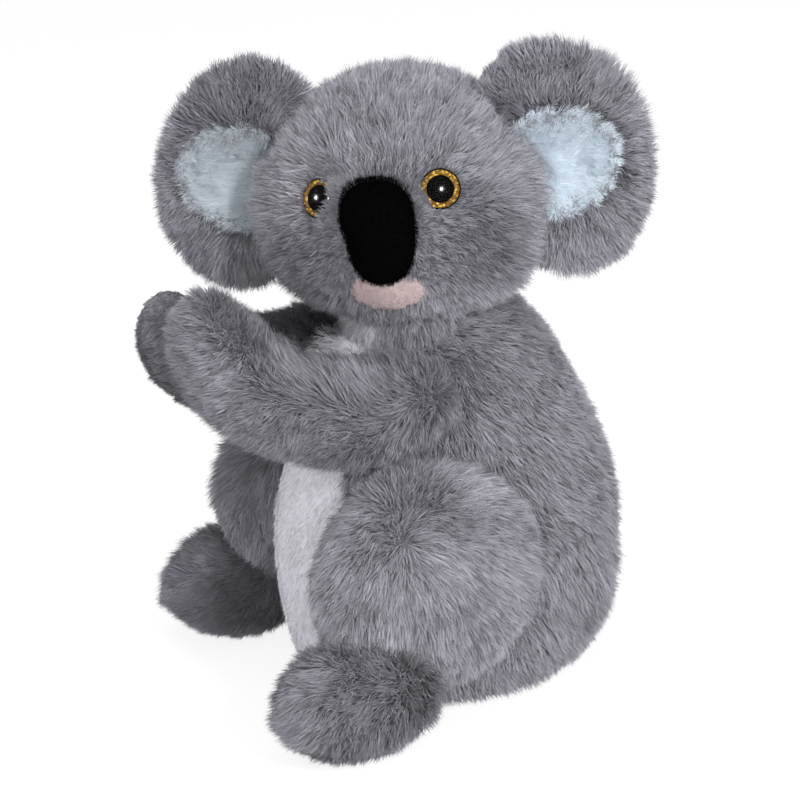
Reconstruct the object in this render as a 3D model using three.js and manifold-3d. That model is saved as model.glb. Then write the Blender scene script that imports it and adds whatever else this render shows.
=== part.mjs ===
// Seated plush koala with its arms held out, in millimetres.
// +Z is up, the body faces -Y and its left side is +X. The origin lies on the flat under the seat.
// Each skin is sewn cloth with its pile, open where it is sewn to the next one, round its own filling.
import * as THREE from "three";
import { mergeVertices } from "three/addons/utils/BufferGeometryUtils.js";
import Module from "manifold-3d";

const wasm = await Module();
wasm.setup();

// Cloth and clearances
const SKIN = 5;
const GAP = 0.3;
const FLOOR_FLAT = 0.5;

// Torso, a pear that is fullest at the hips
const TORSO_HEIGHT = 168;
const TORSO_WIDTH = 119;
const TORSO_DEPTH = 149;
const TORSO_BACK = 11.5;
const BELLY_WIDTH = 72;
const BIB_WIDTH = 40;
const BELLY_LOW = 8;
const BELLY_LOW_ROUND = 14;
const BELLY_LOW_SPREAD = 0.6;
const BELLY_WIDEST = 62;
const BELLY_SLOPE = 34;
const BIB_SLOPE = 26;
const BIB_TOP = 158;
const PELLET_BAG_TOP = 34;

// Neck, a packed ball that the head turns and nods on
const NECK_RADIUS = 25;
const NECK_HEIGHT = 158;
const HEAD_NOD = 6;

// Head, fullest at the cheeks
const HEAD_FORWARD = 3.5;
const HEAD_CENTRE = 210;
const HEAD_WIDTH = 115.5;
const HEAD_DEPTH = 106;
const HEAD_HEIGHT = 103;
const HEAD_TURN = 57;
const HEAD_TILT = 3.5;
const CHEEK_FULLNESS = 0.04;
const MUZZLE_REACH = 6;
const MUZZLE_SPREAD = 24;
const MUZZLE_LEVEL = -8;

// Ears
const EAR_WIDTH = 71.5;
const EAR_HEIGHT = 96;
const EAR_THICKNESS = 22;
const EAR_SEAM_OUT = 43;
const EAR_SEAM_UP = 5;
const EAR_TILT = 18;
const EAR_OUT = 21.8;
const EAR_UP = 0.3;
const EAR_FLOP = 10;
const EAR_HINGE_INSET = 4;
const LINING_WIDTH = 48;
const LINING_HEIGHT = 46;
const LINING_DISH = 9;
const LINING_PILE = 3;

// Eyes, domed lenses over a ring of glitter and a black pupil on a ribbed post
const EYE_DIAMETER = 16;
const EYE_APART = 50;
const EYE_UP = 14.7;
const EYE_DOME = 5.5;
const EYE_PLATE = 1.2;
const EYE_RIM = 0.8;
const EYE_FIT = 0.1;
const EYE_SUNK = 2.6;
const PUPIL_DIAMETER = 10.4;
const PUPIL_RISE = 0.8;
const GLITTER_THICKNESS = 0.5;
const POST_DIAMETER = 4;
const POST_LENGTH = 15;
const POST_RIBS = 3;
const POST_RIB = 0.35;
const POST_RIB_SHARE = 0.8;
const WASHER_DIAMETER = 13;
const WASHER_THICKNESS = 1.5;

// Nose and mouth
const NOSE_WIDTH = 28.5;
const NOSE_HEIGHT = 41;
const NOSE_DEPTH = 22;
const NOSE_UP = 1.9;
const NOSE_SUNK = 1;
const NOSE_TAPER = 0.1;
const NOSE_BLUNTNESS = 2.6;
const VELVET = 2;
const MOUTH_WIDTH = 30;
const MOUTH_HEIGHT = 16;
const MOUTH_DOWN = 24;
const VELOUR = 1.6;

// Arms
const SHOULDER_OUT = 41;
const SHOULDER_FORWARD = 25;
const SHOULDER_HEIGHT = 144;
const ARM_DIAMETER = 43;
const PAW_DIAMETER = 37.5;
const ARM_REACH = 76;
const ARM_RISE = 45;
const ARM_INWARD = 26;
const UPPER_ARM = { inward: 0.08, reach: 0.25, rise: -0.2 };
const FOREARM = { inward: 0.55, reach: 0.79, rise: 0.16 };
const PAW_TIP = { inward: 1, reach: 1, rise: 1 };
const ARM_BLUNTNESS = 4;
const ARM_SEAM_DEPTH = 6;
const ARM_OPENING = 16;
const ARM_LIFT = 12;
const ARM_DROP = 10;
const RIGHT_ARM_LOWERED = 6;

// Legs
const HIP_OUT = 54;
const HIP_FORWARD = 22.75;
const HIP_HEIGHT = 65.75;
const THIGH_THICKNESS = 47;
const THIGH_DIAMETER = 98;
const THIGH_SEAM_DEPTH = 2;
const THIGH_OPENING = 30;
const FOOT_OUT = 65;
const FOOT_FORWARD = 59;
const FOOT_WIDTH = 44;
const FOOT_LENGTH = 68;
const FOOT_HEIGHT = 51;
const FOOT_TOE_OUT = 4;

// How finely the forms are turned: outsides, what is under the skins, and small turned pieces
const OUTSIDE = { sides: 18, rings: 11 };
const INSIDE = { sides: 12, rings: 7 };
const SMALL = { sides: 12, rings: 8 };
const OUTLINE_STEPS = 5;
const SWEEP_STEP = 12;
// A faceted form turning in a faceted room needs the depth of both their facets.
const TURNING_SLACK = 1;
const FAR = 400;

const colours = {
  plush: new THREE.MeshStandardMaterial({ color: 0x82818a, roughness: 0.95 }),
  whitePlush: new THREE.MeshStandardMaterial({ color: 0xe2e6ef, roughness: 0.95 }),
  filling: new THREE.MeshStandardMaterial({ color: 0xf2f1ec, roughness: 1 }),
  pellets: new THREE.MeshStandardMaterial({ color: 0xcfc9bb, roughness: 0.8 }),
  velvet: new THREE.MeshStandardMaterial({ color: 0x050507, roughness: 0.9 }),
  velour: new THREE.MeshStandardMaterial({ color: 0xd9b3b1, roughness: 0.9 }),
  lens: new THREE.MeshStandardMaterial({
    color: 0xffffff, roughness: 0.03, opacity: 0.25, transparent: true,
  }),
  glitter: new THREE.MeshStandardMaterial({ color: 0xb8912f, roughness: 0.35, metalness: 0.8 }),
  blackPlastic: new THREE.MeshStandardMaterial({ color: 0x050505, roughness: 0.15 }),
  washer: new THREE.MeshStandardMaterial({ color: 0xf0f0f0, roughness: 0.4 }),
};

// Solids and cuts

function solidOf(geometry, matrix = new THREE.Matrix4()) {
  const bare = (geometry.index ? geometry.toNonIndexed() : geometry.clone()).applyMatrix4(matrix);
  bare.deleteAttribute("normal");
  bare.deleteAttribute("uv");
  const merged = mergeVertices(bare, 1e-4);
  return new wasm.Manifold(
    new wasm.Mesh({
      numProp: 3,
      vertProperties: merged.attributes.position.array,
      triVerts: new Uint32Array(merged.index.array),
    }),
  );
}

function joined(solids) {
  return solids.reduce((all, solid) => all.add(solid));
}

function cutBy(solid, ...cutters) {
  return cutters.reduce((left, cutter) => left.subtract(cutter), solid);
}

function geometryOf(solid) {
  const { vertProperties, triVerts, numProp } = solid.getMesh();
  const corners = new THREE.InterleavedBuffer(vertProperties, numProp);
  const geometry = new THREE.BufferGeometry();
  geometry.setAttribute("position", new THREE.InterleavedBufferAttribute(corners, 3, 0));
  geometry.setIndex(new THREE.BufferAttribute(triVerts, 1));
  return geometry.toNonIndexed();
}

// The largest body, without the thin offcuts that crossing seams leave.
function withoutOffcuts(solid) {
  const bodies = solid.decompose();
  if (bodies.some((body) => body.volume() < 0)) throw new Error("a hollow has no opening");
  return bodies.reduce((best, body) => (body.volume() > best.volume() ? body : best));
}

function pieceOf(name, solid, material) {
  const geometry = geometryOf(withoutOffcuts(solid));
  geometry.computeVertexNormals();
  const mesh = new THREE.Mesh(geometry, material);
  mesh.name = name;
  return mesh;
}

// Closes a run of equal loops of points into one body, with a point at each end.
function closedLoft(loops, start, end) {
  const sides = loops[0].length;
  const points = [start, ...loops.flat(), end];
  const at = (ring, side) => 1 + ring * sides + (side % sides);
  const last = points.length - 1;
  const triangles = [];
  for (let side = 0; side < sides; side++) {
    triangles.push(0, at(0, side + 1), at(0, side));
    triangles.push(last, at(loops.length - 1, side), at(loops.length - 1, side + 1));
    for (let ring = 0; ring < loops.length - 1; ring++) {
      triangles.push(at(ring, side), at(ring, side + 1), at(ring + 1, side));
      triangles.push(at(ring, side + 1), at(ring + 1, side + 1), at(ring + 1, side));
    }
  }
  return new THREE.BufferGeometry().setFromPoints(points).setIndex(triangles);
}

const finenessOf = (grow) => (grow <= -SKIN ? INSIDE : OUTSIDE);

function unitBall({ sides, rings }) {
  return new THREE.SphereGeometry(1, sides, rings);
}

function ellipsoid(width, depth, height, grow, poleAxis = "z", fineness = finenessOf(grow)) {
  const ball = unitBall(fineness);
  if (poleAxis === "z") ball.rotateX(Math.PI / 2);
  if (poleAxis === "x") ball.rotateZ(Math.PI / 2);
  return ball.scale(width / 2 + grow, depth / 2 + grow, height / 2 + grow);
}

function box(low, high) {
  const size = new THREE.Vector3().subVectors(high, low);
  const middle = new THREE.Vector3().addVectors(low, high).divideScalar(2);
  return solidOf(new THREE.BoxGeometry(size.x, size.y, size.z).translate(middle.x, middle.y, middle.z));
}

function turnAbout(point, axis, degrees) {
  return new THREE.Matrix4()
    .makeTranslation(point)
    .multiply(new THREE.Matrix4().makeRotationAxis(axis, THREE.MathUtils.degToRad(degrees)))
    .multiply(new THREE.Matrix4().makeTranslation(point.clone().negate()));
}

// The room that a form takes as it swings between two angles, tested at most a step apart.
function swept(geometry, point, axis, low, high, step = SWEEP_STEP) {
  const steps = Math.ceil((high - low) / step);
  const copies = [];
  for (let i = 0; i <= steps; i++) {
    copies.push(solidOf(geometry, turnAbout(point, axis, low + ((high - low) * i) / steps)));
  }
  return joined(copies);
}

const floorCut = () => box(new THREE.Vector3(-FAR, -FAR, -FAR), new THREE.Vector3(FAR, FAR, 0));
const LIFT_AXIS = new THREE.Vector3(-1, 0, 0);

// Forms of the outside, each grown or shrunk by a thickness

const torsoProfile = new THREE.SplineCurve([
  new THREE.Vector2(0, 0),
  new THREE.Vector2(0.76, 0.008),
  new THREE.Vector2(0.92, 0.07),
  new THREE.Vector2(1, 0.27),
  new THREE.Vector2(0.98, 0.47),
  new THREE.Vector2(0.79, 0.72),
  new THREE.Vector2(0.56, 0.91),
  new THREE.Vector2(0.3, 0.985),
  new THREE.Vector2(0, 1),
]);

function torsoGeometry(grow) {
  const { sides, rings } = finenessOf(grow);
  const stretch = 1 + (2 * grow) / TORSO_HEIGHT;
  const levelAt = (share) => (share - 0.5) * TORSO_HEIGHT * stretch + TORSO_HEIGHT / 2 - FLOOR_FLAT;
  const loops = [];
  for (let ring = 1; ring < rings; ring++) {
    const { x: fullness, y: share } = torsoProfile.getPoint(ring / rings);
    const loop = [];
    for (let side = 0; side < sides; side++) {
      const angle = (2 * Math.PI * side) / sides;
      loop.push(
        new THREE.Vector3(
          (TORSO_WIDTH / 2 + grow) * fullness * Math.cos(angle),
          (TORSO_DEPTH / 2 + grow) * fullness * Math.sin(angle) + TORSO_BACK,
          levelAt(share),
        ),
      );
    }
    loops.push(loop);
  }
  const start = new THREE.Vector3(0, TORSO_BACK, levelAt(0));
  const end = new THREE.Vector3(0, TORSO_BACK, levelAt(1));
  return closedLoft(loops, start, end);
}

// In the head's own frame, about its centre.
function headGeometry(grow) {
  const ball = unitBall(finenessOf(grow)).rotateX(Math.PI / 2);
  const corners = ball.attributes.position;
  for (let i = 0; i < corners.count; i++) {
    const level = corners.getZ(i);
    const fullness = 1 - CHEEK_FULLNESS * level;
    const x = corners.getX(i) * fullness * (HEAD_WIDTH / 2 + grow);
    const z = level * (HEAD_HEIGHT / 2 + grow);
    const across = x / MUZZLE_SPREAD;
    const along = (z - MUZZLE_LEVEL) / MUZZLE_SPREAD;
    const facing = Math.max(0, -corners.getY(i));
    const muzzle = MUZZLE_REACH * Math.exp(-across * across - along * along) * facing;
    corners.setXYZ(i, x, corners.getY(i) * fullness * (HEAD_DEPTH / 2 + grow) - muzzle, z);
  }
  return ball;
}

// About the middle of its seam with the head, reaching out along +X, for the left ear.
function earGeometry(grow) {
  return ellipsoid(EAR_WIDTH, EAR_THICKNESS, EAR_HEIGHT, grow, "y").translate(EAR_OUT, 0, EAR_UP);
}

// A blunt egg that narrows downwards, in the head's frame.
function noseGeometry(grow) {
  const egg = unitBall(SMALL).rotateX(Math.PI / 2);
  const corners = egg.attributes.position;
  for (let i = 0; i < corners.count; i++) {
    const [x, z] = [corners.getX(i), corners.getZ(i)];
    const powers = Math.abs(x) ** NOSE_BLUNTNESS + Math.abs(z) ** NOSE_BLUNTNESS;
    const blunt = powers > 0 ? Math.hypot(x, z) / powers ** (1 / NOSE_BLUNTNESS) : 1;
    corners.setX(i, x * blunt * (1 + NOSE_TAPER * z));
    corners.setZ(i, z * blunt);
  }
  egg.scale(NOSE_WIDTH / 2 + grow, NOSE_DEPTH / 2 + grow, NOSE_HEIGHT / 2 + grow);
  return egg.translate(0, NOSE_SUNK - HEAD_DEPTH / 2 - MUZZLE_REACH, NOSE_UP);
}

// About its shoulder, for the left arm: round behind the shoulder, then tapering forward, in and up.
function armGeometry(grow) {
  const along = [UPPER_ARM, FOREARM, PAW_TIP].map(
    ({ inward, reach, rise }) => new THREE.Vector3(-ARM_INWARD * inward, -ARM_REACH * reach, ARM_RISE * rise),
  );
  const spine = new THREE.CatmullRomCurve3([new THREE.Vector3(0, ARM_DIAMETER / 2, 0), ...along]);
  const { sides, rings } = finenessOf(grow);
  const loops = [];
  const up = new THREE.Vector3(0, 0, 1);
  const placeAt = (share) => {
    const outward = spine.getTangentAt(share).multiplyScalar(grow * (2 * share - 1));
    return spine.getPointAt(share).add(outward);
  };
  for (let ring = 1; ring < rings; ring++) {
    const share = (1 - Math.cos((Math.PI * ring) / rings)) / 2;
    const rounding = Math.sqrt(1 - Math.pow(Math.abs(2 * share - 1), ARM_BLUNTNESS));
    const radius = THREE.MathUtils.lerp(ARM_DIAMETER / 2, PAW_DIAMETER / 2, share) + grow;
    const tangent = spine.getTangentAt(share);
    const across = new THREE.Vector3().crossVectors(up, tangent).normalize();
    const over = new THREE.Vector3().crossVectors(tangent, across);
    const loop = [];
    for (let side = 0; side < sides; side++) {
      const angle = (2 * Math.PI * side) / sides;
      loop.push(
        placeAt(share)
          .addScaledVector(across, Math.cos(angle) * radius * rounding)
          .addScaledVector(over, Math.sin(angle) * radius * rounding),
      );
    }
    loops.push(loop);
  }
  const arm = closedLoft(loops, placeAt(0), placeAt(1));
  return arm.translate(SHOULDER_OUT, -SHOULDER_FORWARD, SHOULDER_HEIGHT);
}

function thighGeometry(grow) {
  const round = ellipsoid(THIGH_THICKNESS, THIGH_DIAMETER, THIGH_DIAMETER, grow, "x");
  return round.translate(HIP_OUT, -HIP_FORWARD, HIP_HEIGHT);
}

function footGeometry(grow) {
  return ellipsoid(FOOT_WIDTH, FOOT_LENGTH, FOOT_HEIGHT, grow, "y")
    .rotateZ(THREE.MathUtils.degToRad(FOOT_TOE_OUT))
    .translate(FOOT_OUT, -FOOT_FORWARD, FOOT_HEIGHT / 2 - FLOOR_FLAT);
}

const mirrorX = new THREE.Matrix4().makeScale(-1, 1, 1);

// A mirrored copy with its faces still pointing out.
function mirrored(geometry) {
  const flat = (geometry.index ? geometry.toNonIndexed() : geometry.clone()).applyMatrix4(mirrorX);
  const corners = flat.attributes.position;
  const turned = [];
  for (let i = 0; i < corners.count; i += 3) {
    for (const corner of [i, i + 2, i + 1]) {
      turned.push(new THREE.Vector3().fromBufferAttribute(corners, corner));
    }
  }
  return new THREE.BufferGeometry().setFromPoints(turned);
}

const onSide = (side, geometry) => (side === "left" ? geometry : mirrored(geometry));
const pointOn = (side, x, y, z) => new THREE.Vector3(side === "left" ? x : -x, y, z);
const BOTH = ["left", "right"];

const shoulderAt = (side) => pointOn(side, SHOULDER_OUT, -SHOULDER_FORWARD, SHOULDER_HEIGHT);
const armLowered = (side) => (side === "right" ? -RIGHT_ARM_LOWERED : 0);

function armSolid(side, grow) {
  const lowered = turnAbout(shoulderAt(side), LIFT_AXIS, armLowered(side));
  return solidOf(onSide(side, armGeometry(grow)), lowered);
}

function armRoom(side) {
  const room = onSide(side, armGeometry(TURNING_SLACK));
  return swept(room, shoulderAt(side), LIFT_AXIS, -ARM_DROP, ARM_LIFT);
}

const thighSolid = (side, grow) => solidOf(onSide(side, thighGeometry(grow)));
const footSolid = (side, grow) => solidOf(onSide(side, footGeometry(grow)));

const neckCentre = new THREE.Vector3(0, -HEAD_FORWARD, NECK_HEIGHT);

function neckSolid(grow, frame) {
  const ball = ellipsoid(2 * NECK_RADIUS, 2 * NECK_RADIUS, 2 * NECK_RADIUS, grow);
  return solidOf(ball.translate(...neckCentre.toArray()), frame);
}

// The room under the head, round for every turn and as wide as its nod.
function headRoom() {
  const sway = Math.sin(THREE.MathUtils.degToRad(HEAD_NOD)) * (HEAD_CENTRE - NECK_HEIGHT);
  const radius = HEAD_WIDTH / 2 + GAP;
  const profile = [new THREE.Vector2(0, -radius)];
  for (let ring = 0; ring <= OUTSIDE.rings; ring++) {
    const angle = -Math.PI / 2 + (Math.PI * ring) / OUTSIDE.rings;
    profile.push(new THREE.Vector2(sway + radius * Math.cos(angle), radius * Math.sin(angle)));
  }
  profile.push(new THREE.Vector2(0, radius));
  const round = new THREE.LatheGeometry(profile, OUTSIDE.sides).rotateX(Math.PI / 2);
  return solidOf(round.translate(0, -HEAD_FORWARD, HEAD_CENTRE));
}

// Torso

function bellyOutline(grow) {
  const widest = BELLY_WIDTH / 2 + grow;
  const narrow = BIB_WIDTH / 2 + grow;
  const outline = new THREE.Shape();
  const spread = widest * BELLY_LOW_SPREAD;
  const [low, high] = [BELLY_LOW - grow, BIB_TOP + grow];
  const [lowRound, shoulder] = [BELLY_LOW + BELLY_LOW_ROUND, BIB_TOP - narrow];
  const [slope, bibSlope] = [BELLY_WIDEST + BELLY_SLOPE, BELLY_WIDEST + BIB_SLOPE];
  outline.moveTo(0, low);
  outline.bezierCurveTo(spread, low, widest, lowRound, widest, BELLY_WIDEST);
  outline.bezierCurveTo(widest, slope, narrow, bibSlope, narrow, shoulder);
  outline.bezierCurveTo(narrow, high, -narrow, high, -narrow, shoulder);
  outline.bezierCurveTo(-narrow, bibSlope, -widest, slope, -widest, BELLY_WIDEST);
  outline.bezierCurveTo(-widest, lowRound, -spread, low, 0, low);
  return outline;
}

function bellyBlock(grow) {
  const depth = { depth: FAR, bevelEnabled: false, curveSegments: OUTLINE_STEPS };
  return solidOf(new THREE.ExtrudeGeometry(bellyOutline(grow), depth).rotateX(Math.PI / 2));
}

function torsoPieces() {
  const rooms = BOTH.flatMap((side) => [armRoom(side), thighSolid(side, TURNING_SLACK)]);
  const cutters = [...rooms, neckSolid(TURNING_SLACK), headRoom(), floorCut()];
  const outside = solidOf(torsoGeometry(0));
  const shell = cutBy(outside.subtract(solidOf(torsoGeometry(-SKIN))), ...cutters);
  const inside = cutBy(solidOf(torsoGeometry(-SKIN - GAP)), ...cutters);
  const below = (level) => box(new THREE.Vector3(-FAR, -FAR, -FAR), new THREE.Vector3(FAR, FAR, level));
  return [
    pieceOf("body_skin", shell.subtract(bellyBlock(GAP)), colours.plush),
    pieceOf("belly_panel", shell.intersect(bellyBlock(0)), colours.whitePlush),
    pieceOf("body_stuffing", inside.subtract(below(PELLET_BAG_TOP + GAP)), colours.filling),
    pieceOf("pellet_bag", inside.intersect(below(PELLET_BAG_TOP)), colours.pellets),
  ];
}

// Limbs, each with a flat seam against the torso and a round opening that its filling meets the body through

function rodAcross(side, low, high, diameter, forward, height) {
  const rod = new THREE.CylinderGeometry(diameter / 2, diameter / 2, high - low, SMALL.sides);
  rod.rotateZ(Math.PI / 2).translate((low + high) / 2, -forward, height);
  return solidOf(onSide(side, rod));
}

function limbPieces(name, side, solid, { face, middle, flat, opening, forward, height }) {
  const seam = rodAcross(side, -FAR, face, flat, forward, height);
  const hole = rodAcross(side, -FAR, middle, opening, forward, height);
  const neck = rodAcross(side, face, middle, opening - 2 * GAP, forward, height);
  const skin = cutBy(solid(side, 0), solid(side, -SKIN), seam, hole);
  const stuffing = joined([solid(side, -SKIN - GAP), neck]).subtract(seam);
  return [
    pieceOf(`${name}_${side}_skin`, skin, colours.plush),
    pieceOf(`${name}_${side}_stuffing`, stuffing, colours.filling),
  ];
}

const armSeam = {
  face: SHOULDER_OUT - ARM_DIAMETER / 2 + ARM_SEAM_DEPTH,
  middle: SHOULDER_OUT,
  flat: ARM_DIAMETER,
  opening: ARM_OPENING,
  forward: SHOULDER_FORWARD,
  height: SHOULDER_HEIGHT,
};

const thighSeam = {
  face: HIP_OUT - THIGH_THICKNESS / 2 + THIGH_SEAM_DEPTH,
  middle: HIP_OUT,
  flat: THIGH_DIAMETER,
  opening: THIGH_OPENING,
  forward: HIP_FORWARD,
  height: HIP_HEIGHT,
};

function footPieces(side) {
  const cutters = [thighSolid(side, GAP), floorCut()];
  return [
    pieceOf(
      `foot_${side}_skin`,
      cutBy(footSolid(side, 0), footSolid(side, -SKIN), ...cutters),
      colours.plush,
    ),
    pieceOf(`foot_${side}_stuffing`, cutBy(footSolid(side, -SKIN - GAP), ...cutters), colours.filling),
  ];
}

// Ears: a grey cover with a dished front that holds the white lining

function liningDish(back, grow = 0) {
  const dish = ellipsoid(LINING_WIDTH, 2 * LINING_DISH, LINING_HEIGHT, grow, "y", SMALL);
  return dish.translate(EAR_OUT, -EAR_THICKNESS / 2 + back, EAR_UP);
}

const Z_AXIS = new THREE.Vector3(0, 0, 1);
const earHinge = new THREE.Vector3(EAR_HINGE_INSET, 0, 0);

// Where the left ear's seam lies on the head.
function earPlace() {
  const place = new THREE.Matrix4().makeRotationY(-THREE.MathUtils.degToRad(EAR_TILT));
  return place.setPosition(EAR_SEAM_OUT, 0, EAR_SEAM_UP);
}

const earOn = (side, solid) => {
  const placed = geometryOf(solid).applyMatrix4(earPlace());
  return solidOf(onSide(side, placed));
};

// What is cut off the ear at its seam with the head.
function earSeam(grow) {
  const block = new THREE.BoxGeometry(FAR, FAR, FAR);
  return solidOf(block.translate(-grow - FAR / 2, 0, 0));
}

function earRoom(side) {
  const slack = 2 * TURNING_SLACK;
  const coarse = ellipsoid(EAR_WIDTH, EAR_THICKNESS, EAR_HEIGHT, slack, "y", INSIDE);
  const room = solidOf(coarse.translate(EAR_OUT, 0, EAR_UP)).subtract(earSeam(TURNING_SLACK));
  return earOn(side, swept(geometryOf(room), earHinge, Z_AXIS, -EAR_FLOP, EAR_FLOP, 2 * EAR_FLOP));
}

function earPieces(side) {
  const dish = (back, grow) => solidOf(liningDish(back, grow));
  const ear = (grow) => solidOf(earGeometry(grow));
  const cover = cutBy(ear(0), ear(-SKIN), earSeam(0), dish(LINING_PILE, GAP));
  const lining = cutBy(ear(0).intersect(dish(LINING_PILE)), dish(0), earSeam(0));
  const wadding = cutBy(ear(-SKIN - GAP), earSeam(0), dish(LINING_PILE + SKIN / 2, GAP));
  return [
    pieceOf(`ear_${side}_cover`, earOn(side, cover), colours.plush),
    pieceOf(`ear_${side}_lining`, earOn(side, lining), colours.whitePlush),
    pieceOf(`ear_${side}_wadding`, earOn(side, wadding), colours.filling),
  ];
}

// Eyes, made about their own axis with +Z out of the face and the plate's back at zero

function turned(points) {
  const profile = points.map(([radius, height]) => new THREE.Vector2(radius, height));
  return new THREE.LatheGeometry(profile, SMALL.sides).rotateX(Math.PI / 2);
}

const eyeRadius = EYE_DIAMETER / 2;
const pupilTop = EYE_PLATE + PUPIL_RISE;
const washerTop = -(SKIN - EYE_SUNK) - GAP;

function eyePost() {
  const rib = POST_LENGTH / POST_RIBS;
  const outline = [[0, -POST_LENGTH]];
  for (let i = 0; i < POST_RIBS; i++) {
    outline.push([POST_DIAMETER / 2 - POST_RIB, -POST_LENGTH + i * rib]);
    outline.push([POST_DIAMETER / 2, -POST_LENGTH + (i + POST_RIB_SHARE) * rib]);
  }
  outline.push([POST_DIAMETER / 2, 0], [eyeRadius, 0], [eyeRadius, EYE_PLATE]);
  outline.push([PUPIL_DIAMETER / 2, EYE_PLATE], [PUPIL_DIAMETER / 2, pupilTop], [0, pupilTop]);
  return turned(outline);
}

function ringRound(inner, outer, low, high) {
  return turned([[inner, low], [outer, low], [outer, high], [inner, high], [inner, low]]);
}

function eyeGlitter() {
  const low = EYE_PLATE + EYE_FIT;
  const [inner, outer] = [PUPIL_DIAMETER / 2 + EYE_FIT, eyeRadius - EYE_RIM - EYE_FIT];
  return ringRound(inner, outer, low, low + GLITTER_THICKNESS);
}

function eyeLens() {
  const low = EYE_PLATE + EYE_FIT;
  const under = pupilTop + EYE_FIT;
  const shoulder = under + EYE_RIM;
  const crown = low + EYE_DOME;
  const outline = [[0, under], [eyeRadius - EYE_RIM, under], [eyeRadius - EYE_RIM, low], [eyeRadius, low]];
  for (let i = 0; i <= SMALL.rings / 2; i++) {
    const angle = (Math.PI * i) / SMALL.rings;
    outline.push([eyeRadius * Math.cos(angle), shoulder + (crown - shoulder) * Math.sin(angle)]);
  }
  outline[outline.length - 1][0] = 0;
  return turned(outline);
}

const eyeWasher = () =>
  ringRound(POST_DIAMETER / 2 + GAP, WASHER_DIAMETER / 2, washerTop - WASHER_THICKNESS, washerTop);

const plug = (radius, low, high) => turned([[0, low], [radius, low], [radius, high], [0, high]]);

function eyePlace(side) {
  const x = EYE_APART / 2;
  const across = x / (HEAD_WIDTH / 2);
  const level = EYE_UP / (HEAD_HEIGHT / 2);
  const y = (HEAD_DEPTH / 2) * Math.sqrt(1 - across * across - level * level);
  const outward = new THREE.Vector3(
    across / HEAD_WIDTH,
    -y / (HEAD_DEPTH * HEAD_DEPTH / 2),
    level / HEAD_HEIGHT,
  ).normalize();
  const place = new THREE.Group();
  place.position.set(x, -y, EYE_UP).addScaledVector(outward, -EYE_SUNK);
  if (side === "right") {
    place.position.x *= -1;
    outward.x *= -1;
  }
  place.quaternion.setFromUnitVectors(new THREE.Vector3(0, 0, 1), outward);
  place.updateMatrix();
  return place;
}

function eyeGroup(side) {
  const place = eyePlace(side);
  place.add(
    pieceOf(`eye_${side}_post`, solidOf(eyePost()), colours.blackPlastic),
    pieceOf(`eye_${side}_glitter`, solidOf(eyeGlitter()), colours.glitter),
    pieceOf(`eye_${side}_lens`, solidOf(eyeLens()), colours.lens),
    pieceOf(`eye_${side}_washer`, solidOf(eyeWasher()), colours.washer),
  );
  return place;
}

// What the eye takes out of the skin and out of the filling behind it.
function eyeRoom(side) {
  const { matrix } = eyePlace(side);
  return joined([
    solidOf(plug(eyeRadius + GAP, 0, FAR), matrix),
    solidOf(plug(POST_DIAMETER / 2 + GAP, -POST_LENGTH - GAP, 1), matrix),
    solidOf(plug(WASHER_DIAMETER / 2 + GAP, washerTop - WASHER_THICKNESS - GAP, washerTop + GAP), matrix),
  ]);
}

// Head

function mouthBlock(grow) {
  const round = new THREE.CylinderGeometry(1, 1, FAR, SMALL.sides);
  round.scale(MOUTH_WIDTH / 2 + grow, 1, MOUTH_HEIGHT / 2 + grow).translate(0, -FAR / 2, -MOUTH_DOWN);
  return solidOf(round);
}

function headPlace() {
  const place = new THREE.Group();
  place.position.set(0, -HEAD_FORWARD, HEAD_CENTRE);
  place.rotation.set(0, -THREE.MathUtils.degToRad(HEAD_TILT), THREE.MathUtils.degToRad(HEAD_TURN), "ZYX");
  place.updateMatrix();
  return place;
}

function headPieces() {
  const neck = neckSolid(TURNING_SLACK, headPlace().matrix.clone().invert());
  const rooms = [neck, ...BOTH.map(earRoom), ...BOTH.map(eyeRoom)];
  const outside = solidOf(headGeometry(0));
  const mouth = outside.subtract(solidOf(headGeometry(-VELOUR))).intersect(mouthBlock(0));
  const mouthRoom = mouthBlock(GAP).subtract(solidOf(headGeometry(-VELOUR - GAP)));
  const skin = cutBy(outside.subtract(solidOf(headGeometry(-SKIN))), ...rooms, mouthRoom);
  const clearOfHead = solidOf(headGeometry(GAP));
  const nose = cutBy(solidOf(noseGeometry(0)), solidOf(noseGeometry(-VELVET)), clearOfHead);
  return [
    pieceOf("head_skin", skin, colours.plush),
    pieceOf("head_stuffing", cutBy(solidOf(headGeometry(-SKIN - GAP)), ...rooms), colours.filling),
    pieceOf("nose_cover", nose, colours.velvet),
    pieceOf("nose_wadding", cutBy(solidOf(noseGeometry(-VELVET - GAP)), clearOfHead), colours.filling),
    pieceOf("mouth_patch", mouth, colours.velour),
  ];
}

function headGroup() {
  const head = headPlace();
  head.add(...headPieces(), ...BOTH.map(eyeGroup), ...BOTH.flatMap(earPieces));
  return head;
}

const koala = new THREE.Group();
koala.add(
  ...torsoPieces(),
  pieceOf("neck_stuffing", neckSolid(0), colours.filling),
  ...BOTH.flatMap((side) => limbPieces("arm", side, armSolid, armSeam)),
  ...BOTH.flatMap((side) => limbPieces("thigh", side, thighSolid, thighSeam)),
  ...BOTH.flatMap(footPieces),
  headGroup(),
);

export default koala;
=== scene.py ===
"""Dresses a seated plush koala: backing cloths, pile, nose, mouth, eyes, and the stage.

Laid out as a Blender add-on, and run as a script. The forms are worked out in millimetres and degrees. Settings,
finished meshes and the stage are in metres.
"""

import math

import bmesh
import bpy
import numpy as np
from bpy.props import FloatProperty, FloatVectorProperty, IntProperty, PointerProperty
from mathutils import Matrix, Vector, noise
from mathutils.bvhtree import BVHTree


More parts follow.
